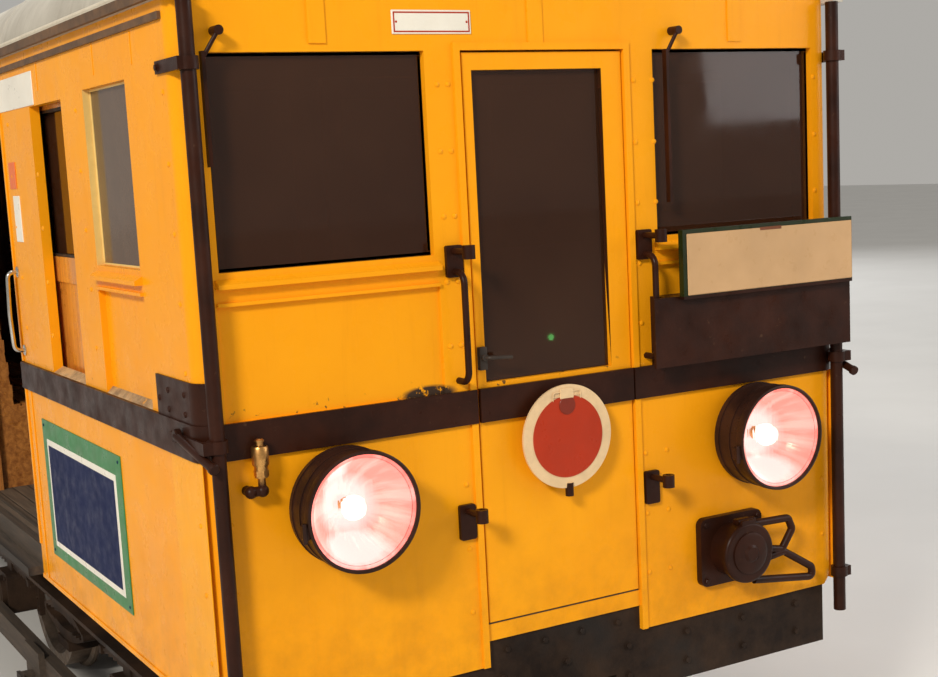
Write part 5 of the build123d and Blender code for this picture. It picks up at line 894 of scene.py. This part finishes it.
def door_lock(bm):
    """The lock case and lever of the end door."""
    x, y, z = FRONT - 0.0025, -0.264, 1.806
    slab(bm, (x, -0.2785, 1.768), (x + 0.018, -0.2515, 1.838), 0.004, 2)
    disc(bm, (x + 0.017, y, z), FORWARD, 0.011, 0.012, 16)
    lever = [(x + 0.022, y, z), (x + 0.04, -0.255, z), (x + 0.04, -0.18, 1.801)]
    tube(bm, rounded(lever, 0.008, 4), 0.006)


def door_bead(bm):
    """The dark bead round the end door's pane."""
    y0, y1, z0, z1 = END_DOOR_PANE
    x = FRONT - 0.0245
    window_ring(bm, (x - 0.006, y0 - SINK, z0 - SINK), (x + SINK, y1 + SINK, z1 + SINK), 0, 0.01)


def window_beads(bm):
    """Dark beads round the panes of the end windows."""
    x = FRONT - 0.026
    for side in SIDES:
        low, high = sorted((side * END_WINDOW_Y[0], side * END_WINDOW_Y[1]))
        window_ring(bm, (x - 0.008, low - SINK, WINDOW_SILL - SINK),
                    (x + 0.004, high + SINK, END_WINDOW_HEAD + SINK), 0, 0.012)


def cock_trim(bm):
    """The hexagon, sleeve and cap of the air cock."""
    place = (FRONT + 0.034, -1.0, 1.558)
    for profile, steps in (
            ([(0.004, 0.0185), (0.004, 0.021), (0.02, 0.021), (0.02, 0.0185)], 6),
            ([(0.034, 0.0185), (0.034, 0.0225), (0.038, 0.024), (0.082, 0.024), (0.087, 0.0215),
              (0.087, 0.0185)], 24),
            ([(0.1, 0.0), (0.1, 0.014), (0.104, 0.014), (0.108, 0.009), (0.108, 0.0)], 16)):
        lathe(bm, profile, place, UP, steps)


def socket_trim(bm):
    """Bolts, a lid ring and a hinge on the jumper socket."""
    y, z = SOCKET_Y, SOCKET_Z
    for dy, dz in product((-0.111, 0.111), (-0.096, 0.096)):
        hexagon(bm, (FRONT + 0.026 - SINK, y + dy, z + dz), FORWARD, 0.009, 0.008)
    lid = FRONT + 0.118
    ring = [(-0.001, 0.0), (-0.001, 0.07), (0.004, 0.07), (0.008, 0.06), (0.008, 0.03), (0.014, 0.022),
            (0.014, 0.0)]
    lathe(bm, ring, (lid, y, z), FORWARD)
    slab(bm, (lid - 0.05, y - 0.03, z + 0.092), (lid - 0.002, y + 0.03, z + 0.112), 0.004, 2)
    tube(bm, [(lid - 0.02, y - 0.036, z + 0.108), (lid - 0.02, y + 0.036, z + 0.108)], 0.008, 12)


# Sides
def advert_frame(bm):
    """The white frame of the blank plate on the lower side panel."""
    x0, x1, z0, z1 = ADVERT
    y = SKIN - ADVERT_RISES[0]
    slab(bm, (x0 + 0.06, y - 0.0018, z0 + 0.045), (x1 - 0.06, y + SINK, z1 - 0.07), 0.0008)


def advert_field(bm):
    """Its navy field and four screws."""
    x0, x1, z0, z1 = ADVERT
    y = SKIN - ADVERT_RISES[1]
    slab(bm, (x0 + 0.082, y - 0.0014, z0 + 0.067), (x1 - 0.082, y + 0.0003, z1 - 0.092), 0.0006)
    for x, z in product((x0 + 0.025, x1 - 0.025), (z0 + 0.022, z1 - 0.022)):
        dome(bm, (x, SKIN - ADVERT_RISES[0], z), TO_RIGHT, 0.006, 0.003, 8)


def doorway_handles(bm):
    """The bright curved handles outside the doorways."""
    y = SKIN
    foot, head = 1.76, 2.06
    for x in (DOORWAY_X[1] + 0.055, DOORWAY_X[0] - 0.055):
        bow = [(x, y + 0.002, head), (x, y - 0.04, head), (x, y - 0.046, 1.9), (x, y - 0.04, foot),
               (x, y + 0.002, foot)]
        tube(bm, rounded(bow, 0.026, 6), 0.008, 12)
        for z in (head, foot):
            disc(bm, (x, y + SINK, z), TO_RIGHT, 0.021, 0.006, 20)


def saloon_frames(bm):
    """Varnished frames with a top light in the saloon's windows."""
    y0, y1 = -1.09, -1.066
    bar = WINDOW_SILL + (SIDE_WINDOW_HEAD - WINDOW_SILL) * 0.72
    for x0, x1 in SALOON_SPANS:
        window_ring(bm, (x0, y0, WINDOW_SILL), (x1, y1, SIDE_WINDOW_HEAD), 1, 0.03, 0.004)
        slab(bm, (x0 + 0.028, y0, bar - 0.014), (x1 - 0.028, y1, bar + 0.014), 0.004)


def pane_seal(bm, span, y0, y1, width):
    """A ring in a side window's opening, seated in its edges."""
    window_ring(bm, (span[0] - SINK, y0, WINDOW_SILL - SINK), (span[1] + SINK, y1, SIDE_WINDOW_HEAD + SINK),
                1, width)


def window_seals(bm):
    """Dark seals round the side panes, seen from outside."""
    for span in [*SALOON_SPANS, CAB_SPAN, (-CAB_SPAN[1], -CAB_SPAN[0])]:
        pane_seal(bm, span, -1.118, -1.108, 0.01)


def cab_window_frames(bm):
    """The pale inner frame of the cab's side window."""
    window_ring(bm, (CAB_SPAN[0], -1.106, WINDOW_SILL), (CAB_SPAN[1], -1.062, SIDE_WINDOW_HEAD), 1, 0.034,
                0.004)


def cab_outer_beads(bm):
    """The pale bead round the outer pane of the cab's side window."""
    pane_seal(bm, CAB_SPAN, -1.1285, -1.1155, 0.008)


def corner_bars(bm):
    """The round bar from the band to the corner pole, with its eyes."""
    start = (FRONT - 0.125, -1.178, 1.676)
    end = (FRONT + 0.09, -1.156, 1.612)
    tube(bm, [start, end], 0.013, 14)
    disc(bm, (start[0] - 0.002, -1.168, start[2]), TO_RIGHT, 0.02, 0.018, 18, 0.003)
    disc(bm, (end[0] - 0.006, end[1], end[2] + 0.0015), (0.96, 0.1, -0.26), 0.016, 0.014, 18, 0.003)


def leaf_trim(name):
    """The pane's beads, the rubber edge and the flush pulls of one sliding leaf."""
    low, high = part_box(name)
    centre = DOORWAY_MIDDLE if low[0] + high[0] > 0 else -DOORWAY_MIDDLE
    # The leading edge is the one next to the doorway's middle
    way = 1 if (low[0] + high[0]) / 2 > centre else -1
    lead = low[0] if way > 0 else high[0]
    faces = ((low[1], -1), (high[1], 1))

    def depth(y, out, inner, outer):
        """Lowest and highest y of what lies between two heights over a face."""
        return sorted((y + out * inner, y + out * outer))

    def bead(bm):
        for y, out in faces:
            a, b = depth(y, out, -0.012, -SINK)
            window_ring(bm, (low[0] + 0.0895, a, LEAF_GLASS[0] - SINK),
                        (high[0] - 0.0895, b, LEAF_GLASS[1] + SINK), 1, 0.011)

    def edge(bm):
        x0, x1 = sorted((lead + way * SINK, lead + way * 0.012))
        for y, out in faces:
            a, b = depth(y, out, -SINK, 0.003)
            slab(bm, (x0, a, low[2] + 0.01), (x1, b, high[2] - 0.03), 0.001)

    def pull(bm):
        x = lead + way * 0.05
        for y, out in faces:
            a, b = depth(y, out, -SINK, 0.004)
            slab(bm, (x - 0.018, a, 1.9), (x + 0.018, b, 2.06), 0.0018)
            front = y + out * 0.0035
            for z in (1.91, 2.05):
                dome(bm, (x, front, z), (0, out, 0), 0.004, 0.0018, 8)
            tube(bm, [(x, front, 1.935), (x, front, 2.025)], 0.0028, 8)

    for build, look in ((bead, DARK_BEAD), (edge, RUBBER), (pull, BRASS)):
        piece(build, look, name, name=f"{name}_{build.__name__}")


# Roof
def roof_points(raised):
    """Points of the roof's outline from foot to foot."""
    half = ROOF_HALF + raised
    shoulder = ROOF_SHOULDER + raised
    rise = ROOF_CROWN + raised - ROOF_FOOT
    run = half - shoulder
    depth = (run ** 2 - (rise - shoulder) ** 2) / (2 * (rise - shoulder))
    radius = rise + depth
    lean = math.atan2(run, depth)
    side_steps = 5
    top_steps = 14
    side = []
    for i in range(side_steps + 1):
        a = math.pi / 2 - (math.pi / 2 - lean) * i / side_steps
        side.append((half - shoulder + shoulder * math.sin(a), ROOF_FOOT + shoulder * math.cos(a)))
    top = []
    for i in range(1, top_steps):
        a = lean * (1 - 2 * i / top_steps)
        top.append((radius * math.sin(a), ROOF_FOOT - depth + radius * math.cos(a)))
    return side + top + [(-y, z) for y, z in reversed(side)]


def roof_battens(bm):
    """Thin strips across the roof over the joints of its canvas."""
    lower, upper = roof_points(-0.001), roof_points(0.004)
    for i in range(9):
        x = -6.0 + 1.5 * i
        rows = []
        for low, high in zip(lower, upper):
            corners = ((x - 0.022, *low), (x - 0.018, *high), (x + 0.018, *high), (x + 0.022, *low))
            rows.append([bm.verts.new(corner) for corner in corners])
        for a, b in zip(rows, rows[1:]):
            for k in range(3):
                bm.faces.new((a[k], a[k + 1], b[k + 1], b[k]))


def roof_edge(bm):
    """A light rolled edge along the roof's sides and ends."""
    for side in SIDES:
        y, z = side * (ROOF_HALF + 0.006), ROOF_FOOT + 0.034
        tube(bm, [(-FRONT - 0.04, y, z), (FRONT + 0.04, y, z)], 0.01)
    for end in SIDES:
        tube(bm, [(end * (FRONT + 0.036), y, z) for y, z in roof_points(0.002)], 0.009, 8)


def ventilator_slots(bm):
    """Slots at the foot of each roof ventilator."""
    for i, k, side in product(range(6), range(9), SIDES):
        x = (i - 2.5) * 1.9 + (-0.2 + 0.05 * k)
        a, b = sorted((side * 0.1105, side * 0.1045))
        slab(bm, (x - 0.014, a, 3.176), (x + 0.014, b, 3.186), 0.001)


# Running gear
def bogie_bolts(bm, centre):
    """Bolt heads on the frame of one bogie."""
    for side in SIDES:
        y = side * (0.906 - SINK)
        out = (0, side, 0)
        for x, z in product((-0.44, -0.35, -0.19, 0.19, 0.35, 0.44), (0.505, 0.658)):
            hexagon(bm, (centre + x, y, z), out, 0.012, 0.01)
        for way, dx, z in product((-WHEEL_X, WHEEL_X), (-0.14, 0.14), (0.36, 0.42, 0.48)):
            hexagon(bm, (centre + way + dx, y, z), out, 0.01, 0.009)


def axle_box_bolts(bm, centre):
    """Cover bolts on each axle box."""
    for side, way, dx, dz in product(SIDES, (-WHEEL_X, WHEEL_X), (-0.078, 0.078), (-0.078, 0.078)):
        place = (centre + way + dx, side * (1.035 - SINK), AXLE_Z + dz)
        hexagon(bm, place, (0, side, 0), 0.009, 0.009)


def case_panels(bm):
    """Doors, hinges and catches of the underfloor cases."""
    for x0, x1, y, z0, side in CASES:
        width = (x1 - x0 - 0.1) / CASE_DOORS
        outer = y + side * 0.0125
        low, high = sorted((y - side * SINK, outer))
        for i in range(CASE_DOORS):
            a = x0 + 0.05 + i * width + 0.02
            b = a + width - 0.04
            slab(bm, (a, low, z0 + 0.05), (b, high, 0.645), 0.003)
            for x in (a + 0.05, b - 0.05):
                tube(bm, [(x - 0.02, outer, 0.642), (x + 0.02, outer, 0.642)], 0.006, 8)
            disc(bm, ((a + b) / 2, outer - side * SINK, z0 + 0.085), (0, side, 0), 0.012, 0.008, 14)


def cable_runs(bm):
    """Conduit with clips inside the sole bars."""
    for side in SIDES:
        y = side * 1.125
        for z in (0.8, 0.845):
            tube(bm, [(-2.5, y, z), (2.5, y, z)], 0.009, 8)
        low, high = sorted((y - side * 0.025, y + side * 0.004))
        for i in range(6):
            x = -2.25 + 0.9 * i
            slab(bm, (x - 0.012, low, 0.788), (x + 0.012, high, 0.857), 0.002)


# Inside
def gauge_faces(bm):
    """Blank gauge faces over the driver's desk."""
    for place in GAUGES:
        disc(bm, place, BACKWARD, 0.05, 0.01)


def add_pieces():
    """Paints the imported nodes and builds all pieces."""
    for end in ("front", "rear"):
        paint_end_door(end)
        paint_cab_door(end)
    for side, number in product(("right", "left"), range(1, 5)):
        paint_leaf(f"door_{side}_{number}")
        leaf_trim(f"door_{side}_{number}")
    paint_disc()
    paint_body()
    doors = (FRONT_DOOR, "end_door_rear")
    for shape, look in ((end_rivets, YELLOW), (headstock_bolts, CAST), ("lamp_reflectors", REFLECTOR),
                        ("lamp_bulbs", GLOW), ("lamp_holders", BRASS), (lamp_trim, LAMP_BLACK)):
        at_ends(shape, look)
    piece("notice_plate", WHITE)
    piece(notice_line, RED)
    at_ends("board_face", BOARD_CREAM)
    at_ends("board_slot", SLOT_BROWN)
    at_ends(door_lock, IRON, doors)
    at_ends(door_bead, DARK_BEAD, doors)
    at_ends(window_beads, DARK_BEAD)
    at_ends(cock_trim, BRASS)
    at_ends(socket_trim, BLACK)
    at_ends("threshold", IRON)
    for shape, look in (("advert_back", ADVERT_GREEN), (advert_frame, WHITE),
                        (advert_field, ADVERT_NAVY), ("side_notice", WHITE), ("side_badge", WHITE),
                        ("side_red_plate", FADED_RED)):
        piece(shape, look)
    at_ends(gauge_faces, WHITE)
    at_ends("gauge_rims", BRASS)
    at_ends("controller_plate", BRASS)
    at_ends("telltale", TELLTALE)
    piece(disc_clips, CREAM, FRONT_DOOR)
    piece("disc_tongue_head", CREAM, FRONT_DOOR)
    piece(disc_tongue, RED_DARK, FRONT_DOOR)
    for shape, look in ((side_rivets, YELLOW), (plate_bolts, BLACK), ("panel_seams", YELLOW),
                        ("lower_seams", YELLOW), ("foot_rails", YELLOW),
                        ("corner_covers", HIGHLIGHT_YELLOW), ("doorway_posts", YELLOW),
                        (doorway_handles, POLISHED), (cab_window_frames, CREAM_FRAME),
                        ("cab_outer_panes", CAB_GLASS), (cab_outer_beads, CREAM_FRAME),
                        (corner_bars, BLACK)):
        at_quarters(shape, look)
    for end, turn in (("_right", None), ("_left", FLIP_SIDE)):
        piece(saloon_frames, WOOD_ALONG, BODY, end, turn)
        piece(window_seals, DARK_BEAD, BODY, end, turn)
    for shape, look in ((roof_battens, ROOF), (roof_edge, ROOF_EDGE), (ventilator_slots, GUTTER),
                        (case_panels, CAST), (cable_runs, CAST), ("ceiling_lamps", OPAL),
                        ("ceiling_bases", BRASS)):
        piece(shape, look)
    for name, centre in (("bogie_front", BOGIE_X), ("bogie_rear", -BOGIE_X)):
        piece(lambda bm: bogie_bolts(bm, centre), CAST, name, name=name + "_bolts")
        piece(lambda bm: axle_box_bolts(bm, centre), CAST, name, name=name + "_box_bolts")


dress_nodes()
camera()
add_pieces()
studio()
